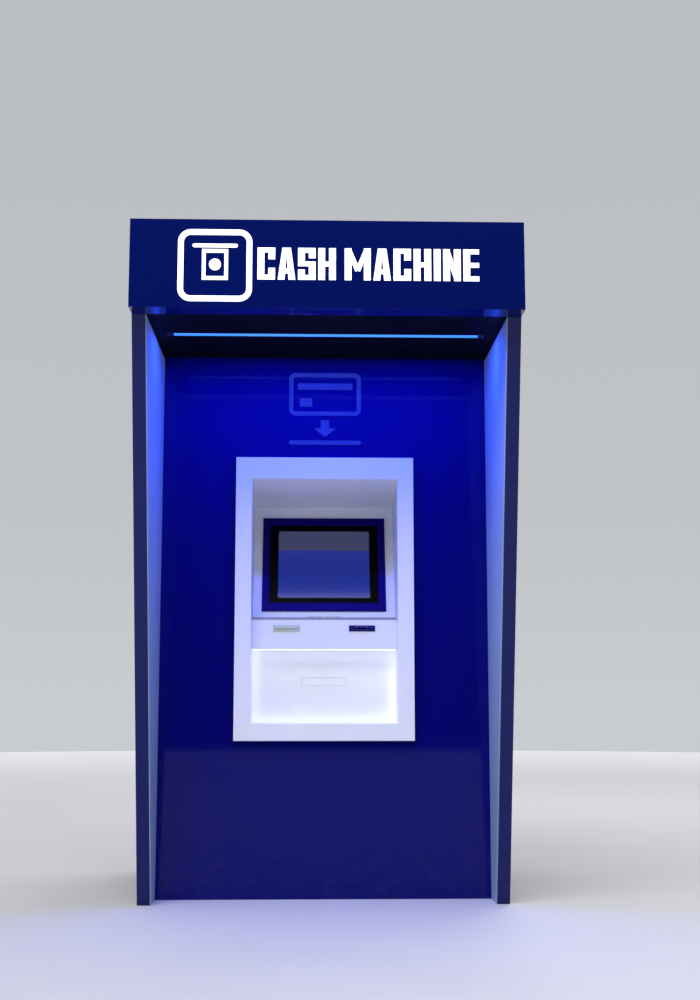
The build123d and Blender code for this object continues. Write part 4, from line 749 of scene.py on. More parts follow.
def acrylic(name, colour):
    """Coloured acrylic on the wall, glowing faintly with a cast unevenness."""
    g = finish(name)
    cast = g.noise(CAST_UNEVENNESS, 2.0)
    g.surface({
        "Base Color": g.mix(cast, shade(colour, 0.8), colour),
        "Roughness": g.span(cast, 0.10, 0.2),
        "Normal": g.bump(g.noise(CAST_RIPPLE, 1.0), FINE_DEPTH, 0.2),
        "Emission Color": g.mix(cast, shade(colour, 0.26), shade(colour, 0.36)),
        "Emission Strength": 1.0,
    })


def screen_slope():
    """Middle of the bezel, and the directions up its slope and out of it."""
    polygons = NODES["screen_bezel"].data.polygons
    forward = [polygon for polygon in polygons if polygon.normal.y < FACES_FORWARD]
    out = max(forward, key=lambda polygon: polygon.area).normal.normalized()
    return middle_of("screen_bezel"), out.cross(Vector((1, 0, 0))), out


def rounded(g, across, up, half, corner):
    """1 inside a rounded rectangle, 0 outside."""
    x = (across.absolute() - (half[0] - corner)).largest(0.0)
    y = (up.absolute() - (half[1] - corner)).largest(0.0)
    distance = (x * x + y * y).root()
    return 1 - g.step(distance, corner - PICTURE_SOFTNESS, corner)


def display():
    """Display pane with its idle picture, a band of painted hood shadow across the picture's top, and
    the zinc-plated case behind it.
    """
    g = finish("display_glass")
    middle, up, out = screen_slope()
    front = g.step(g.along(out, middle), *GLASS_DEPTH)
    height = g.along(up, middle)
    inside = rounded(g, g.axis("X"), height, PICTURE_HALF, PICTURE_CORNER)
    picture = g.mix(g.step(height, *PICTURE_SHADE), shade(DISPLAY_BLUE, 1.2), DISPLAY_BLUE)
    # painted shadow of the hood: the picture turns grey above this height
    picture = g.mix(g.step(height, *HOOD_SHADOW_EDGE), picture, HOOD_SHADOW_GREY)
    dots = g.cells(DISPLAY_DOTS)
    picture = g.mix(dots * 0.2, picture, shade(DISPLAY_BLUE, 0.9))
    spangle = g.noise(FINE_SPANGLES, 2.0)
    back = g.mix(spangle, ZINC_DARK, ZINC_PALE)
    g.surface({
        "Base Color": g.mix(front, back, GLASS_BLACK),
        "Metallic": 1 - front,
        "Roughness": g.span(front, 0.35, 0.08),
        "Emission Color": g.mix(inside * front, UNLIT, picture),
        "Emission Strength": PICTURE_GLOW,
        "Normal": g.bump(spangle, SCRATCH_DEPTH, 0.2),
        "Specular IOR Level": 0.12,
    })


def paper():
    """Paper of the receipt roll and of the labels: fibres, and the turns at the roll's ends."""
    g = finish("paper")
    fibres = g.noise(PAPER_FIBRES, 4.0)
    turns = g.cells(PAPER_TURNS, where=g.stretched((0.05, 1.0, 1.0)))
    g.surface({
        "Base Color": g.mix(fibres, (0.78, 0.78, 0.76, 1), (0.88, 0.88, 0.86, 1)),
        "Roughness": g.span(turns, 0.7, 0.85),
        "Normal": g.bump(fibres, FINE_DEPTH, 0.4),
    })


def make_finishes():
    paint("navy_paint", NAVY, shine=0.28)
    # front wall: a copy of the navy paint with the blue lamp's light painted into it
    paint("wall_paint_lamplit", WALL_NAVY_LAMPLIT, shine=0.16)
    paint("screen_frame_blue", SCREEN_BLUE, gloss=0.35, shine=0.03, dirt=0.0)
    enamel("white_lining", LINING_WHITE, 0.42)
    # side liners: a shaded, blue-tinted copy of the white lining
    enamel("side_lining_shaded", SIDE_LINING_SHADED, 0.42)
    enamel("fascia_white", FASCIA_WHITE)
    enamel("black_soffit", (0.0015, 0.0015, 0.003, 1), 0.6, 0.06)
    enamel("plinth_coat", (0.004, 0.008, 0.045, 1), 0.55)
    enamel("roof_coat", (0.055, 0.060, 0.075, 1), 0.5)
    enamel("shelf_grey", SHELF_GREY, 0.4)
    enamel("safe_grey", (0.20, 0.21, 0.22, 1), 0.5)
    enamel("computer_case", (0.030, 0.030, 0.033, 1), 0.5)
    moulded("black_gloss", (0.001, 0.001, 0.0025, 1), 0.3, 0.02)
    moulded("reader_plastic", READER_NAVY, 0.3, 0.2)
    moulded("printer_plastic", PRINTER_GREEN, 0.4)
    moulded("cassette_plastic", (0.030, 0.034, 0.040, 1), 0.5)
    moulded("fan_plastic", (0.015, 0.015, 0.016, 1), 0.42)
    moulded("cancel_red", (0.55, 0.012, 0.012, 1), 0.35)
    moulded("clear_yellow", (0.75, 0.45, 0.01, 1), 0.35)
    moulded("enter_green", (0.010, 0.30, 0.045, 1), 0.35)
    moulded("legend_ink", (0.012, 0.012, 0.014, 1), 0.5)
    moulded("belt_rubber", (0.02, 0.02, 0.02, 1), 0.7)
    brushed("anodised_channel", (0.10, 0.10, 0.11, 1), (1, 0, 0))
    brushed("keypad_steel", (0.55, 0.55, 0.56, 1), (1, 0, 0))
    brushed("key_steel", (0.70, 0.70, 0.71, 1), (1, 0, 0), 0.5)
    plated("bright_steel", (0.62, 0.62, 0.63, 1), 0.2)
    plated("chrome_handle", (0.70, 0.70, 0.72, 1), 0.1)
    plated("screw_zinc", (0.52, 0.53, 0.55, 1), 0.3)
    plated("brass", (0.62, 0.42, 0.14, 1), 0.22)
    rubber("seal_rubber", (0.012, 0.012, 0.013, 1))
    lit("opal_letters", (1.0, 1.0, 1.0, 1), 1.25)
    lit("light_strip", LAMP_BLUE, 1.0, (0.2, 0.4, 0.8, 1))
    lit("alcove_strip", (0.85, 0.88, 1.0, 1), 1.6)
    lit("slot_lamp", (0.045, 0.050, 0.26, 1), 1.0, (0.05, 0.05, 0.2, 1))
    acrylic("blue_acrylic", SIGN_BLUE)
    galvanised()
    display()
    paper()


def dress_cad_nodes():
    """Give each CAD node the finish of its own slot, and round its hard edges."""
    for node in NODES.values():
        slot = node.data.materials[0].name
        node.data.materials[0] = FINISHES[slot]
    # the front wall takes the lamp-lit copy of the navy paint: painted blue lamp light
    NODES["front_wall"].data.materials[0] = FINISHES["wall_paint_lamplit"]
    # the side liners take the shaded, blue-tinted copy of the lining: painted shade and lamp light
    for side in ("left", "right"):
        NODES[f"side_liner_{side}"].data.materials[0] = FINISHES["side_lining_shaded"]
    for name, width in EDGE_ROUNDS.items():
        soften(NODES[name], width)
    for number in range(1, KEY_COUNT + 1):
        soften(NODES[key_name(number)], KEY_ROUND)


def soften(node, width):
    """Round a node's hard edges a little, without touching its own mesh."""
    weld = node.modifiers.new("weld", "WELD")
    weld.merge_threshold = WELD_REACH
    bevel = node.modifiers.new("bevel", "BEVEL")
    bevel.width = width
    bevel.segments = BLOCK_ROUND_STEPS
    bevel.limit_method = "ANGLE"
    bevel.angle_limit = HARD_EDGE
    bevel.harden_normals = True
    normals = node.modifiers.new("normals", "WEIGHTED_NORMAL")
    normals.keep_sharp = True


# ---------------------------------------------------------------- mesh helpers
def placed(origin, axis):
    """The frame of a part that stands at the origin, with its Z along the axis."""
    return Matrix.Translation(origin) @ Vector(axis).to_track_quat("Z", "Y").to_matrix().to_4x4()


class Shape:
    """A mesh under construction, in the part's frame."""

    def __init__(self):
        self.mesh = bmesh.new()

    def block(self, low, high, edge=0.0, turn=None):
        """A box between two corners with rounded edges, turned about its middle if asked."""
        low, high = Vector(low), Vector(high)
        size = Matrix.Diagonal((*(high - low), 1.0))
        place = Matrix.Translation((low + high) / 2) @ (turn or Matrix()) @ size
        corners = bmesh.ops.create_cube(self.mesh, size=1.0, matrix=place)["verts"]
        if edge:
            edges = list({line for corner in corners for line in corner.link_edges})
            steps = BLOCK_ROUND_STEPS
            bmesh.ops.bevel(
                self.mesh, geom=edges, offset=edge, segments=steps, profile=0.5, affect="EDGES"
            )

    def ring(self, frame_matrix, along, radius, count):
        """One circle of points at a height along the axis; a point where the radius is zero."""
        if radius == 0:
            return [self.mesh.verts.new(frame_matrix @ Vector((0, 0, along)))]
        angles = [2 * math.pi * number / count for number in range(count)]
        points = [(radius * math.cos(a), radius * math.sin(a), along) for a in angles]
        return [self.mesh.verts.new(frame_matrix @ Vector(point)) for point in points]

    def join(self, first, second):
        """Faces between two rings, or between a ring and a point."""
        count = max(len(first), len(second))
        for number in range(count):
            after = (number + 1) % count
            corners = [first[number % len(first)], first[after % len(first)]]
            corners += [second[after % len(second)], second[number % len(second)]]
            self.mesh.faces.new(list(dict.fromkeys(corners)))

    def turned(self, origin, axis, profile, count=TURNED_SIDES):
        """A turned part: pairs of distance along the axis and radius."""
        place = placed(origin, axis)
        rings = [self.ring(place, along, radius, count) for along, radius in profile]
        for first, second in zip(rings, rings[1:]):
            self.join(first, second)

    def rod(self, start, end, radius, edge=ROD_CHAMFER, count=ROD_SIDES):
        """A round bar with chamfered ends."""
        start, end = Vector(start), Vector(end)
        length = (end - start).length
        profile = (
            (0, 0), (0, radius - edge), (edge, radius),
            (length - edge, radius), (length, radius - edge), (length, 0),
        )
        self.turned(start, end - start, profile, count)

    def screw(self, place, axis, radius=PANEL_SCREW):
        """A button-head screw with a round socket."""
        profile = [(along * radius, out * radius) for along, out in SCREW_HEAD]
        self.turned(place, axis, profile, SCREW_SIDES)

    def loop(self, centre, axis, radius, wire, count=LOOP_SIDES):
        """A closed ring of round wire."""
        place = placed(centre, axis)
        rings = []
        for number in range(count):
            spin = Matrix.Rotation(2 * math.pi * number / count, 4, "Z")
            tube = Matrix.Translation((radius, 0, 0)) @ Matrix.Rotation(math.pi / 2, 4, "X")
            rings.append(self.ring(place @ spin @ tube, 0, wire, WIRE_SIDES))
        for first, second in zip(rings, rings[1:] + rings[:1]):
            self.join(first, second)

    def drawn(self, outline, start, reach):
        """An outline of points, drawn out straight along one vector."""
        near = [self.mesh.verts.new(Vector(start) + Vector(point)) for point in outline]
        far = [self.mesh.verts.new(corner.co + Vector(reach)) for corner in near]
        self.mesh.faces.new(near)
        self.mesh.faces.new(list(reversed(far)))
        self.join(near, far)

    def gear(self, centre, axis, radius, teeth, thickness):
        """A spur wheel with a bored hub."""
        place = placed(centre, axis)
        depth = TOOTH_DEPTH * radius / teeth
        outline = []
        count = teeth * TOOTH_POINTS
        for number in range(count):
            at_tip = number % TOOTH_POINTS in (1, 2)
            reach = radius if at_tip else radius - depth
            angle = 2 * math.pi * number / count
            outline.append(place @ Vector((reach * math.cos(angle), reach * math.sin(angle), 0)))
        self.drawn(outline, (0, 0, 0), Vector(axis).normalized() * thickness)
        hub, hub_end, bore = radius * GEAR_HUB, radius * GEAR_HUB_END, radius * GEAR_BORE
        profile = ((0, hub), (thickness / 2, hub_end), (thickness / 2, bore), (0, bore))
        self.turned(place @ Vector((0, 0, thickness)), axis, profile, SMALL_SIDES)

    def piece(self, name, finish_name, body, slot=None):
        """Close the mesh, give it its finish, and let it ride on a body."""
        bmesh.ops.remove_doubles(self.mesh, verts=self.mesh.verts, dist=JOIN_REACH)
        bmesh.ops.recalc_face_normals(self.mesh, faces=self.mesh.faces)
        for face in self.mesh.faces:
            face.smooth = True
        for edge in self.mesh.edges:
            edge.smooth = edge.is_manifold and edge.calc_face_angle(0.0) < SMOOTH_BELOW
        data = bpy.data.meshes.new(name)
        self.mesh.to_mesh(data)
        self.mesh.free()
        data.materials.append(FINISHES[finish_name])
        built = bpy.data.objects.new(name, data)
        add_to_scene(built)
        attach(built, body)


def middle_of(node):
    low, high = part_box(node)
    return (low + high) / 2


def add_to_scene(thing):
    bpy.context.scene.collection.objects.link(thing)


def middle_of(node):
    low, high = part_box(node)
    return (low + high) / 2


def key_name(number):
    return f"key_{number:02d}"


def spaced(first, last, count):
    """Even places from the first to the last."""
    return [first + (last - first) * number / (count - 1) for number in range(count)]


def repeated(first, pitch, count):
    """Places one pitch apart, from the first on."""
    return [first + number * pitch for number in range(count)]


# ---------------------------------------------------------------- console and keypad
def key_legends():
    """Printed digits on the number keys, coloured inlays on the three function keys."""
    for number, digit in KEY_LEGENDS.items():
        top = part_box(key_name(number))[1].z
        middle = middle_of(key_name(number))
        text = bpy.data.curves.new(f"legend_{digit}", "FONT")
        text.body = digit
        text.size = LEGEND_HEIGHT
        text.align_x = "CENTER"
        text.align_y = "CENTER"
        text.extrude = LEGEND_RISE
        text.offset = LEGEND_BOLD
        text.materials.append(FINISHES["legend_ink"])
        legend = bpy.data.objects.new(f"legend_{digit}", text)
        legend.location = (middle.x, middle.y, top)
        add_to_scene(legend)
        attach(legend, key_name(number))
    for number, colour in KEY_INLAYS.items():
        low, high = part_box(key_name(number))
        inlay = Shape()
        inlay.block(
            (low.x + INLAY_INSET, low.y + INLAY_INSET, high.z + INLAY_FOOT),
            (high.x - INLAY_INSET, high.y - INLAY_INSET, high.z + INLAY_TOP),
            INLAY_ROUND,
        )
        inlay.piece(f"inlay_{number:02d}", colour, key_name(number))


def touch_pip():
    """The raised dot that a finger finds on the middle key."""
    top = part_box(PIP_KEY)[1].z
    middle = middle_of(PIP_KEY)
    pip = Shape()
    pip.turned((middle.x, middle.y - PIP_BELOW, top), UP, TOUCH_PIP, PIP_SIDES)
    pip.piece("touch_pip", "key_steel", PIP_KEY, "key_steel")


def keypad_screws():
    low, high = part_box("pinpad_housing")
    screws = Shape()
    for x in (low.x + KEYPAD_SCREW_INSET, high.x - KEYPAD_SCREW_INSET):
        for y in (low.y + KEYPAD_SCREW_INSET, high.y - KEYPAD_SCREW_INSET):
            screws.screw((x, y, high.z), UP, KEYPAD_SCREW)
    screws.piece("keypad_screws", "screw_zinc", "housing")


def receipt_mouth():
    """Funnel lips and a serrated tear bar at the receipt slot."""
    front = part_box("receipt_printer")[0].y
    left = -SLOT_X - RECEIPT_HALF
    lips = Shape()
    for side in (-1, 1):
        shoulder = (0, -LIP_SHOULDER[0], side * LIP_SHOULDER[1])
        outline = [(0, 0, 0), (0, 0, side * LIP_HEIGHT), shoulder, (0, -LIP_REACH, 0)]
        start = (left, front + LIP_SEAT, SLOT_Z + side * RECEIPT_GAP)
        lips.drawn(outline, start, (2 * RECEIPT_HALF, 0, 0))
    lips.piece("receipt_lips", "printer_plastic", "housing", "printer_plastic")
    bar = Shape()
    pitch = 2 * RECEIPT_HALF / TEAR_TEETH
    tooth = [(0, 0, TEAR_DEPTH), (pitch / 2, 0, -TEAR_TIP), (pitch, 0, TEAR_DEPTH)]
    for x in repeated(left, pitch, TEAR_TEETH):
        bar.drawn(tooth, (x, front + TEAR_BACK, SLOT_Z + TEAR_RISE), (0, TEAR_THICKNESS, 0))
    bar.piece("receipt_tear_bar", "bright_steel", "housing", "bright_steel")


def card_mouth():
    """Moulded guides beside the card slot, a sill below it and three lamps above it."""
    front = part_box("card_reader")[0].y
    guides = Shape()
    for left in (SLOT_X - CARD_HALF - GUIDE_WIDTH, SLOT_X + CARD_HALF):
        guides.block(
            (left, front - GUIDE_REACH, SLOT_Z - GUIDE_HALF_HEIGHT),
            (left + GUIDE_WIDTH, front + GUIDE_SEAT, SLOT_Z + GUIDE_HALF_HEIGHT),
            GUIDE_ROUND,
        )
    guides.block(
        (SLOT_X - CARD_HALF, front - SILL_REACH, SLOT_Z - SILL_DEPTHS[0]),
        (SLOT_X + CARD_HALF, front + GUIDE_SEAT, SLOT_Z - SILL_DEPTHS[1]),
        SILL_ROUND,
    )
    guides.piece("card_guides", "reader_plastic", "housing", "reader_plastic")
    lamps = Shape()
    for x in repeated(SLOT_X - SLOT_LAMP_PITCH, SLOT_LAMP_PITCH, 3):
        lamps.block(
            (x - SLOT_LAMP_HALF, front - SLOT_LAMP_REACH, SLOT_Z + SLOT_LAMP_HEIGHTS[0]),
            (x + SLOT_LAMP_HALF, front + SLOT_LAMP_SEAT, SLOT_Z + SLOT_LAMP_HEIGHTS[1]),
            SLOT_LAMP_ROUND,
        )
    lamps.piece("card_slot_lamps", "slot_lamp", "housing", "light_strip")


def alcove_strip():
    """Opal strip lamp under the console's front edge, in its small channel."""
    low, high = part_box("shelf_console")
    foot = low.z - CHANNEL_DEPTH
    channel = Shape()
    channel.block(
        (low.x + LAMP_END, low.y + CHANNEL_SPAN[0], foot),
        (high.x - LAMP_END, low.y + CHANNEL_SPAN[1], low.z),
        CHANNEL_ROUND,
    )
    channel.piece("alcove_lamp_channel", "white_lining", "housing", "white_lining")
    strip = Shape()
    strip.block(
        (low.x + STRIP_END, low.y + STRIP_SPAN[0], foot - STRIP_DROP),
        (high.x - STRIP_END, low.y + STRIP_SPAN[1], foot + STRIP_SEAT),
        STRIP_ROUND,
    )
    strip.piece("alcove_lamp_strip", "alcove_strip", "housing", "light_strip")


def screen_beads():
    """Beads of white sealant where the screen's panel meets the hood and the keypad shelf."""
    middle, up, out = screen_slope()
    low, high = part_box("screen_panel")
    hood = middle + up * HOOD_BEAD_RISE + out * HOOD_BEAD_OUT
    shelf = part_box("keypad_shelf")[1]
    seat = (shelf.y + SHELF_BEAD_SEAT, shelf.z - SHELF_BEAD_SEAT)
    beads = Shape()
    beads.rod((low.x, hood.y, hood.z), (high.x, hood.y, hood.z), HOOD_BEAD_RADIUS)
    beads.rod((low.x, *seat), (high.x, *seat), SHELF_BEAD_RADIUS)
    beads.piece("screen_beads", "white_lining", "housing", "white_lining")


# ---------------------------------------------------------------- canopy and side panels
def light_end_caps():
    low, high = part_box("soffit_light_channel")
    caps = Shape()
    for x in (low.x, high.x):
        caps.block(
            (x - CAP_LENGTH, low.y - CAP_OVERLAP, low.z - CAP_DROP),
            (x + CAP_LENGTH, high.y + CAP_OVERLAP, low.z + CAP_SEAT),
            CAP_ROUND,
        )
    caps.piece("light_end_caps", "anodised_channel", "housing", "anodised_channel")


def header_hatch(screws):
    """Service hatch in the back of the header, with its screws and those of the header's top."""
    low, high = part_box("header_box")
    back = high.y
    bottom, top = low.z + HATCH_FROM_FOOT, high.z - HATCH_FROM_TOP
    hatch = Shape()
    hatch.block(
        (-HATCH_HALF, back - HATCH_SEAT, bottom), (HATCH_HALF, back + HATCH_RISE, top), HATCH_ROUND
    )
    hatch.piece("header_hatch", "navy_paint", "housing", "navy_paint")
    reach = HATCH_HALF - HATCH_SCREW_INSET
    for x in (-reach, 0.0, reach):
        for z in (bottom + HATCH_SCREW_INSET, top - HATCH_SCREW_INSET):
            screws.screw((x, back + HATCH_RISE, z), BACK)
    for x in spaced(low.x + HEADER_SCREW_END, high.x - HEADER_SCREW_END, HEADER_SCREWS):
        screws.screw((x, back, high.z - HEADER_SCREW_DROP), BACK)


def roof_seams(screws):
    """Standing seams of the roof sheet, and the screws along its rear edge."""
    low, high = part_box("roof_panel")
    seams = Shape()
    outline = [(x * MM, 0, z * MM) for x, z in SEAM_OUTLINE]
    for x in repeated(-SEAM_PITCH * (SEAM_COUNT - 1) / 2, SEAM_PITCH, SEAM_COUNT):
        start = (x, low.y + SEAM_END, high.z - SEAM_SEAT)
        seams.drawn(outline, start, (0, high.y - low.y - 2 * SEAM_END, 0))
    seams.piece("roof_seams", "roof_coat", "housing", "roof_coat")
    for x in spaced(low.x + ROOF_SCREW_END, high.x - ROOF_SCREW_END, ROOF_SCREWS):
        screws.screw((x, high.y, high.z - ROOF_SCREW_DROP), BACK)


def canopy_fittings():
    screws = Shape()
    light_end_caps()
    header_hatch(screws)
    roof_seams(screws)
    screws.piece("canopy_screws", "screw_zinc", "housing")


def side_fittings():
    """Screws that hold each side panel along its rear and lower edges."""
    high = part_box("side_panel_right")[1]
    rear = high.y - SIDE_SCREW_EDGE
    screws = Shape()
    for side in (-1, 1):
        x = side * (high.x - SIDE_SCREW_SEAT)
        for z in spaced(SIDE_SCREW_END, high.z - SIDE_SCREW_END, SIDE_SCREWS):
            screws.screw((x, rear, z), (side, 0, 0))
        for y in spaced(FOOT_SCREW_FIRST, rear, FOOT_SCREWS + 1)[:-1]:
            screws.screw((x, y, FOOT_SCREW_HEIGHT), (side, 0, 0))
    screws.piece("side_screws", "screw_zinc", "housing")


# ---------------------------------------------------------------- rear door
def door_face():
    """Where the door's outer sheet lies, from the hinges that stand on it."""
    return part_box("rear_hinge_upper")[1].y - HINGE_RADIUS


def hinge_heights():
    low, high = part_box("rear_door")
    return spaced(low.z + HINGE_END, high.z - HINGE_END, HINGE_COUNT)


def louvre_hood(shape, face, z):
    """A pressed hood over one slot, open below, with rounded shoulders."""
    angles = spaced(0.0, math.pi / 2, HOOD_STEPS + 1)
    outer, inner = HOOD_REACH, HOOD_REACH - HOOD_SHEET
    arc = [(0, outer * math.sin(a), outer * math.cos(a) - outer) for a in angles]
    inside = [(0, inner * math.sin(a), inner * math.cos(a) - outer) for a in reversed(angles)]
    top = z + LOUVRE_GAP + HOOD_SHEET
    shape.drawn(arc + inside, (-LOUVRE_HALF, face, top), (2 * LOUVRE_HALF, 0, 0))
    for x in (-LOUVRE_HALF - HOOD_SHEET, LOUVRE_HALF):
        shape.drawn(arc + [(0, 0, -outer)], (x, face, top), (HOOD_SHEET, 0, 0))


def louvres():
    """A field of hoods at the air's way in, and another before the fan."""
    hoods = Shape()
    half = (LOUVRE_COUNT - 1) / 2 * LOUVRE_PITCH
    for field in (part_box("rear_door")[0].z + INTAKE_RISE, middle_of("vent_fan_rotor").z):
        for z in repeated(field - half, LOUVRE_PITCH, LOUVRE_COUNT):
            louvre_hood(hoods, door_face(), z)
    hoods.piece("louvre_hoods", "navy_paint", "rear_door", "navy_paint")


def door_seal():
    """Rubber strip round the inside of the door."""
    low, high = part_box("rear_door")
    inner, outer = low.y - SEAL_THICKNESS, low.y
    left, right = low.x + SEAL_EDGE, high.x - SEAL_EDGE
    bottom, top = low.z + SEAL_EDGE, high.z - SEAL_TOP_EDGE
    seal = Shape()
    for x in (left, right - SEAL_WIDTH):
        seal.block((x, inner, bottom), (x + SEAL_WIDTH, outer, top), SEAL_ROUND)
    for z in (bottom, top - SEAL_WIDTH):
        seal.block(
            (left + SEAL_WIDTH, inner, z), (right - SEAL_WIDTH, outer, z + SEAL_WIDTH), SEAL_ROUND
        )
    seal.piece("door_seal", "seal_rubber", "rear_door")


def lever_spindle():
    """Where the lever's spindle comes out of the door."""
    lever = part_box("rear_door_handle")[0]
    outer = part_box("rear_door")[1].y
    return Vector((middle_of("rear_door_handle").x, outer, lever.z + LEVER_LENGTH))


def door_lock():
    """Cylinder of the lock over the lever, with its keyway."""
    place = lever_spindle() + Vector((0, 0, LOCK_RISE))
    lock = Shape()
    lock.turned(place, BACK, LOCK_CYLINDER)
    lock.piece("lock_cylinder", "chrome_handle", "rear_door", "chrome_handle")
    keyway = Shape()
    centre = place + Vector((0, KEYWAY_RISE, 0))
    keyway.block(centre - KEYWAY_HALF, centre + KEYWAY_HALF, KEYWAY_ROUND)
    keyway.piece("lock_keyway", "legend_ink", "rear_door")


def door_screws():
    """Screws of the lock's case and of the hinge straps."""
    screws = Shape()
    spindle = lever_spindle()
    half_width, half_height = LOCK_CASE_HALF
    for z in (-half_height, half_height):
        for x in (-half_width, half_width):
            screws.screw(spindle + Vector((x, 0, z)), BACK, DOOR_SCREW)
    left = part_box("rear_door")[0].x
    for z in hinge_heights():
        for rise in STRAP_SCREW_HEIGHTS:
            screws.screw((left + STRAP_SCREW_X, door_face(), z + rise), BACK, DOOR_SCREW)
    screws.piece("rear_door_screws", "screw_zinc", "rear_door")


def hinge_straps():
    """Flat straps that carry the hinges' knuckles on the door."""
    left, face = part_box("rear_door")[0].x, door_face()
    straps = Shape()
    for z in hinge_heights():
        straps.block(
            (left + STRAP_SPAN[0], face - STRAP_SEAT, z + STRAP_HEIGHTS[0]),
            (left + STRAP_SPAN[1], face + STRAP_RISE, z + STRAP_HEIGHTS[1]),
            STRAP_ROUND,
        )
    straps.piece("hinge_straps", "bright_steel", "rear_door", "bright_steel")


def quarter_turns():
    """The four diagonal directions in the upright plane."""
    angles = repeated(math.pi / 4, math.pi / 2, 4)
    return [Vector((math.cos(angle), 0, math.sin(angle))) for angle in angles]


def fan_guard():
    """Wire finger guard over the inside of the fan, and the fan's corner screws."""
    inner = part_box("vent_fan_housing")[0].y
    middle = middle_of("vent_fan_housing")
    guard, screws = Shape(), Shape()
    centre = Vector((middle.x, inner - GUARD_GAP, middle.z))
    for radius in GUARD_RINGS:
        guard.loop(centre, BACK, radius, GUARD_WIRE)
    crossing = centre - Vector((0, GUARD_CROSS_GAP, 0))
    near, far = GUARD_CROSS
    for reach in quarter_turns():
        guard.rod(crossing + reach * near, crossing + reach * far, GUARD_WIRE, WIRE_END, WIRE_SIDES)
        corner = Vector((middle.x, inner, middle.z)) + reach * FAN_SCREW_REACH
        screws.screw(corner, FRONT, FAN_SCREW)
    guard.piece("fan_guard", "bright_steel", "rear_door", "bright_steel")
    screws.piece("fan_screws", "screw_zinc", "rear_door")


# ---------------------------------------------------------------- safe, dispenser, computer
def safe_dial():
    """Combination dial beside the safe's knob, with its marks and index ring."""
    knob = middle_of("safe_handle")
    centre = Vector((knob.x, SAFE_FACE, knob.z)) + DIAL_FROM_KNOB
    ring, dial, marks = Shape(), Shape(), Shape()
    ring.turned(centre, BACK, DIAL_RING, DIAL_SIDES)
    dial.turned(centre + Vector((0, DIAL_SEAT, 0)), BACK, DIAL, DIAL_SIDES)
    for number in range(DIAL_MARKS):
        angle = 2 * math.pi * number / DIAL_MARKS
        spot = centre + Vector((math.cos(angle), 0, math.sin(angle))) * MARK_RADIUS
        spot.y += MARK_RISE
        length = MARK_SHORT if number % DIAL_LONG_EVERY else MARK_LONG
        half = Vector((length / 2, MARK_THICKNESS, MARK_HALF_WIDTH))
        marks.block(spot - half, spot + half, MARK_ROUND, Matrix.Rotation(-angle, 4, "Y"))
    ring.piece("safe_dial_ring", "chrome_handle", "safe_door", "chrome_handle")
    dial.piece("safe_dial", "black_gloss", "safe_door", "black_gloss")
    marks.piece("safe_dial_marks", "legend_ink", "safe_door")


def cassette_fittings():
    """Latches, blank label holders and moulded ribs on the cassettes' rear faces."""
    low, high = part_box("cash_cassettes")
    face = high.y - CASSETTE_HANDLE_DEPTH
    seat = face - CASSETTE_SEAT
    middle = middle_of("cash_cassettes").x
    latches, holders, labels, ribs = Shape(), Shape(), Shape(), Shape()
    for foot in spaced(low.z, high.z - CASSETTE_HEIGHT, CASSETTE_COUNT):
        latches.block(
            (high.x - LATCH_SPAN[0], seat, foot + LATCH_HEIGHTS[0]),
            (high.x - LATCH_SPAN[1], face + LATCH_RISE, foot + LATCH_HEIGHTS[1]),
            LATCH_ROUND,
        )
        button = (high.x - LATCH_BUTTON[0], face + LATCH_RISE, foot + LATCH_BUTTON[1])
        latches.turned(button, BACK, LATCH, SMALL_SIDES)
        holders.block(
            (middle - HOLDER_HALF, seat, foot + HOLDER_HEIGHTS[0]),
            (middle + HOLDER_HALF, face + HOLDER_RISE, foot + HOLDER_HEIGHTS[1]),
            HOLDER_ROUND,
        )
        labels.block(
            (middle - LABEL_HALF, face + LABEL_SPAN[0], foot + LABEL_HEIGHTS[0]),
            (middle + LABEL_HALF, face + LABEL_SPAN[1], foot + LABEL_HEIGHTS[1]),
            LABEL_ROUND,
        )
        for x in repeated(low.x + RIB_FIRST, RIB_PITCH, RIB_COUNT):
            ribs.block(
                (x, seat, foot + RIB_HEIGHTS[0]),
                (x + RIB_WIDTH, face + RIB_RISE, foot + RIB_HEIGHTS[1]),
                RIB_ROUND,
            )
    plastic = "cassette_plastic"
    latches.piece("cassette_latches", "clear_yellow", "cash_cassettes")
    holders.piece("cassette_label_holders", plastic, "cash_cassettes", plastic)
    labels.piece("cassette_labels", "paper", "cash_cassettes", "paper")
    ribs.piece("cassette_ribs", plastic, "cash_cassettes", plastic)


def dispenser_train():
    """Gear train and its motor on the dispenser's side plate."""
    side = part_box("cash_dispenser")[1].x
    gears, motor = Shape(), Shape()
    for y, z, radius, teeth in GEARS:
        gears.gear(Vector((side + GEAR_GAP, y * MM, z * MM)), RIGHT, radius * MM, teeth, GEAR_THICKNESS)
    motor.turned((side, *MOTOR_PLACE), RIGHT, MOTOR, MOTOR_SIDES)
    gears.piece("dispenser_gears", "seal_rubber", "housing")
    motor.piece("dispenser_motor", "bright_steel", "housing", "bright_steel")


def presenter_rollers():
    """Shafts with three tyres each, along the notes' way over the dispenser."""
    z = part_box("cash_dispenser")[1].z + ROLLER_LIFT
    rollers = Shape()
    for y in repeated(ROLLER_FIRST, ROLLER_PITCH, ROLLER_COUNT):
        rollers.rod((-SHAFT_HALF, y, z), (SHAFT_HALF, y, z), SHAFT_RADIUS)
        for x in TYRE_PLACES:
            rollers.rod((x - TYRE_HALF, y, z), (x + TYRE_HALF, y, z), TYRE_RADIUS)
    rollers.piece("presenter_rollers", "belt_rubber", "housing")


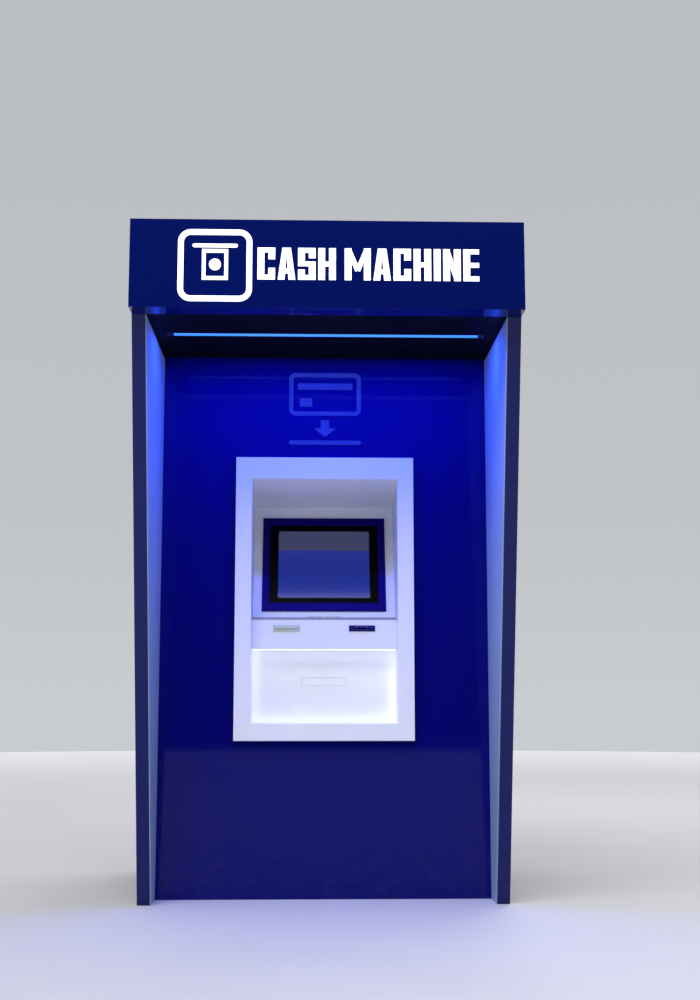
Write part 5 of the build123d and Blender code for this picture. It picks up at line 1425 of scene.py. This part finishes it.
def computer_fittings():
    """Connector panel, fan grille, card slots and screws on the computer's rear face."""
    low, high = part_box("pc_core")
    face = high.y
    seat, rise = face - PANEL_SEAT, face + PANEL_RISE
    panel, ports, screws, grille = Shape(), Shape(), Shape(), Shape()
    panel.block(
        (low.x + PORT_PANEL_SPAN[0], seat, low.z + PORT_PANEL_HEIGHTS[0]),
        (low.x + PORT_PANEL_SPAN[1], rise, low.z + PORT_PANEL_HEIGHTS[1]),
        PANEL_ROUND,
    )
    for number, z in enumerate(repeated(low.z + PORT_FIRST, PORT_PITCH, PORT_COUNT)):
        half = PORT_WIDTHS[number % 2] / 2
        ports.block(
            (low.x + PORT_X - half, face + PORT_SPAN[0], z),
            (low.x + PORT_X + half, face + PORT_SPAN[1], z + PORT_HEIGHT),
            PORT_ROUND,
        )
    for x in repeated(low.x + CARD_FIRST, CARD_PITCH, CARD_COUNT):
        panel.block(
            (x, seat, low.z + CARD_HEIGHTS[0]), (x + CARD_WIDTH, rise, low.z + CARD_HEIGHTS[1]),
            PANEL_ROUND,
        )
        screws.screw((x + CARD_SCREW[0], rise, low.z + CARD_SCREW[1]), BACK, CASE_SCREW)
    centre = Vector((high.x - GRILLE_FROM_EDGE, face + GRILLE_GAP, low.z + GRILLE_RISE))
    for radius in GRILLE_RINGS:
        grille.loop(centre, BACK, radius, GRILLE_WIRE)
    near, far = GRILLE_CROSS
    for reach in quarter_turns():
        grille.rod(centre + reach * near, centre + reach * far, GRILLE_WIRE, WIRE_END, WIRE_SIDES)
        spot = centre + reach * GRILLE_SCREW_REACH
        screws.screw((spot.x, face, spot.z), BACK, CASE_SCREW)
    side, end = CASE_SCREW_INSET
    for x in (low.x + side, high.x - side):
        for z in (low.z + end, high.z - end):
            screws.screw((x, face, z), BACK, CASE_SCREW)
    panel.piece("computer_panels", "galvanised", "housing", "galvanised")
    ports.piece("computer_ports", "legend_ink", "housing")
    grille.piece("computer_grille", "bright_steel", "housing", "bright_steel")
    screws.piece("computer_screws", "screw_zinc", "housing")


def display_back():
    """Ribbed vents and mounting bosses on the back of the display's case."""
    middle, up, out = screen_slope()
    lean = Matrix((Vector((1, 0, 0)), up, out)).transposed().to_4x4()
    cover, bosses = Shape(), Shape()
    for height in repeated(VENT_FIRST, VENT_PITCH, VENT_COUNT):
        spot = middle + up * height + out * CASE_BACK
        cover.block(spot - VENT_HALF, spot + VENT_HALF, VENT_ROUND, lean)
    seat = middle + out * (CASE_BACK + BOSS_SEAT)
    for x in (-BOSS_X, BOSS_X):
        for height in (-BOSS_RISE, BOSS_RISE):
            bosses.turned(seat + up * height + Vector((x, 0, 0)), -out, DISPLAY_BOSS, SMALL_SIDES)
    cover.piece("display_vents", "galvanised", "housing", "galvanised")
    bosses.piece("display_bosses", "brass", "housing")


def gland_nut():
    """Hexagonal lock nut on the cable gland under the floor."""
    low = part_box("floor_pan")[0]
    nut = Shape()
    nut.turned((*GLAND_PLACE, low.z + NUT_RISE), UP, GLAND_NUT, NUT_SIDES)
    nut.piece("gland_nut", "brass", "housing")


def fit_out():
    key_legends()
    touch_pip()
    keypad_screws()
    receipt_mouth()
    card_mouth()
    alcove_strip()
    screen_beads()
    canopy_fittings()
    side_fittings()
    louvres()
    door_seal()
    door_lock()
    door_screws()
    hinge_straps()
    fan_guard()
    safe_dial()
    cassette_fittings()
    dispenser_train()
    presenter_rollers()
    computer_fittings()
    display_back()
    gland_nut()


# ---------------------------------------------------------------- camera, stage and lights
def camera():
    data = bpy.data.cameras.new("camera")
    data.lens = LENS
    data.sensor_width = LONG_SIDE
    data.clip_end = FARTHEST
    holder = bpy.data.objects.new("camera", data)
    holder.location = CAMERA_PLACE
    holder.rotation_euler = (math.pi / 2 + CAMERA_PITCH, 0, -CAMERA_YAW)
    add_to_scene(holder)
    bpy.context.scene.camera = holder


def floor_coat():
    """Pale studio floor, brighter towards its rim, where it meets the backdrop."""
    g = finish("floor_coat")
    distance = g.add("ShaderNodeVectorMath", [g.place()], out="Value", operation="LENGTH")
    mottle = g.noise(FLOOR_MOTTLE, 4.0)
    g.surface({
        "Base Color": g.mix(mottle, FLOOR_DARK, FLOOR_PALE),
        "Roughness": g.span(mottle, 0.55, 0.7),
        "Normal": g.bump(g.noise(FLOOR_GRAIN, 2.0), FLOOR_DEPTH, 0.1),
        "Emission Color": g.mix(g.step(distance, *FLOOR_FADE), UNLIT, FLOOR_GLOW),
        "Emission Strength": 1.0,
    })


def stage_floor():
    mesh = bmesh.new()
    bmesh.ops.create_circle(mesh, cap_ends=True, radius=FLOOR_RADIUS, segments=FLOOR_SEGMENTS)
    data = bpy.data.meshes.new("floor")
    mesh.to_mesh(data)
    mesh.free()
    data.materials.append(FINISHES["floor_coat"])
    floor = bpy.data.objects.new("floor", data)
    add_to_scene(floor)


def world():
    """Pale backdrop for the camera, and a soft dome overhead for the light."""
    space = bpy.data.worlds.new("studio")
    bpy.context.scene.world = space
    g = Graph(space)
    direction = g.add("ShaderNodeTexCoord", out="Generated")
    height = g.add("ShaderNodeSeparateXYZ", [direction], out="Z")
    along = g.span(height, 0.0, 1.0) * HORIZON + HORIZON
    backdrop = g.add("ShaderNodeValToRGB", [along], stops=BACKDROP)
    dome = g.step(height, DOME_LOW, DOME_HIGH) * DOME_POWER + DOME_BASE
    seen = g.add("ShaderNodeLightPath", out="Is Camera Ray")
    backdrop_light = g.add("ShaderNodeBackground", [backdrop, 1.0])
    dome_light = g.add("ShaderNodeBackground", [(*WHITE, 1.0), dome])
    both = g.add("ShaderNodeMixShader", [seen, dome_light, backdrop_light])
    g.end("ShaderNodeOutputWorld", both)


def area_lamp(name, place, aim, size, power, colour):
    data = bpy.data.lights.new(name, "AREA")
    data.shape = "RECTANGLE"
    data.size, data.size_y = size
    data.energy = power
    data.color = colour
    lamp = bpy.data.objects.new(name, data)
    lamp.location = place
    towards = Vector(aim) - Vector(place)
    lamp.rotation_euler = towards.to_track_quat("-Z", "Y").to_euler()
    add_to_scene(lamp)
    return lamp


def hidden_lamp(name, place, aim, size, power, colour):
    """A lamp whose own shape shows neither to the camera nor in gloss."""
    lamp = area_lamp(name, place, aim, size, power, colour)
    lamp.visible_camera = False
    lamp.visible_glossy = False


def softboxes():
    for name, place, power in (
        ("softbox", SOFTBOX_PLACE, SOFTBOX_POWER),
        ("rear_softbox", REAR_SOFTBOX_PLACE, REAR_SOFTBOX_POWER),
    ):
        area_lamp(name, place, SOFTBOX_AIM, SOFTBOX_SIZE, power, WHITE)


def canopy_lamp():
    """The blue light that the soffit's strip throws down."""
    low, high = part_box("soffit_light_diffuser")
    middle = middle_of("soffit_light_diffuser")
    place = Vector((middle.x, middle.y, low.z - CANOPY_LAMP_DROP))
    size = (high.x - low.x, high.y - low.y)
    down = Vector((0, 0, -1))
    hidden_lamp("canopy_lamp", place, place + down, size, CANOPY_LAMP_POWER, CANOPY_LAMP_COLOUR)


def alcove_lamps():
    """White light from under the console, and along three edges of the lower panel."""
    low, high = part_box("shelf_console")
    place = Vector((0, low.y + ALCOVE_LAMP_BACK, low.z - ALCOVE_LAMP_DROP))
    size = (high.x - low.x, LAMP_WIDTH)
    aim = place + Vector((0, ALCOVE_LAMP_LEAN, -1))
    hidden_lamp("alcove_lamp", place, aim, size, ALCOVE_LAMP_POWER, ALCOVE_LAMP_COLOUR)

    low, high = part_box("lower_panel")
    front, height = low.y - EDGE_LAMP_FRONT, middle_of("lower_panel").z
    edge = high.x - EDGE_LAMP_INSET
    upright, level = (LAMP_WIDTH, high.z - low.z), (high.x - low.x, LAMP_WIDTH)
    for name, x, z, size, power in (
        ("alcove_lamp_left", -edge, height, upright, EDGE_LAMP_POWER),
        ("alcove_lamp_right", edge, height, upright, EDGE_LAMP_POWER),
        ("alcove_lamp_foot", 0.0, low.z + EDGE_LAMP_INSET, level, FOOT_LAMP_POWER),
    ):
        place = Vector((x, front, z))
        hidden_lamp(name, place, place + Vector(BACK), size, power, ALCOVE_LAMP_COLOUR)


# ---------------------------------------------------------------- build it
make_finishes()
floor_coat()
dress_cad_nodes()
fit_out()
camera()
stage_floor()
world()
softboxes()
canopy_lamp()
alcove_lamps()
bpy.context.scene.view_settings.view_transform = "Standard"
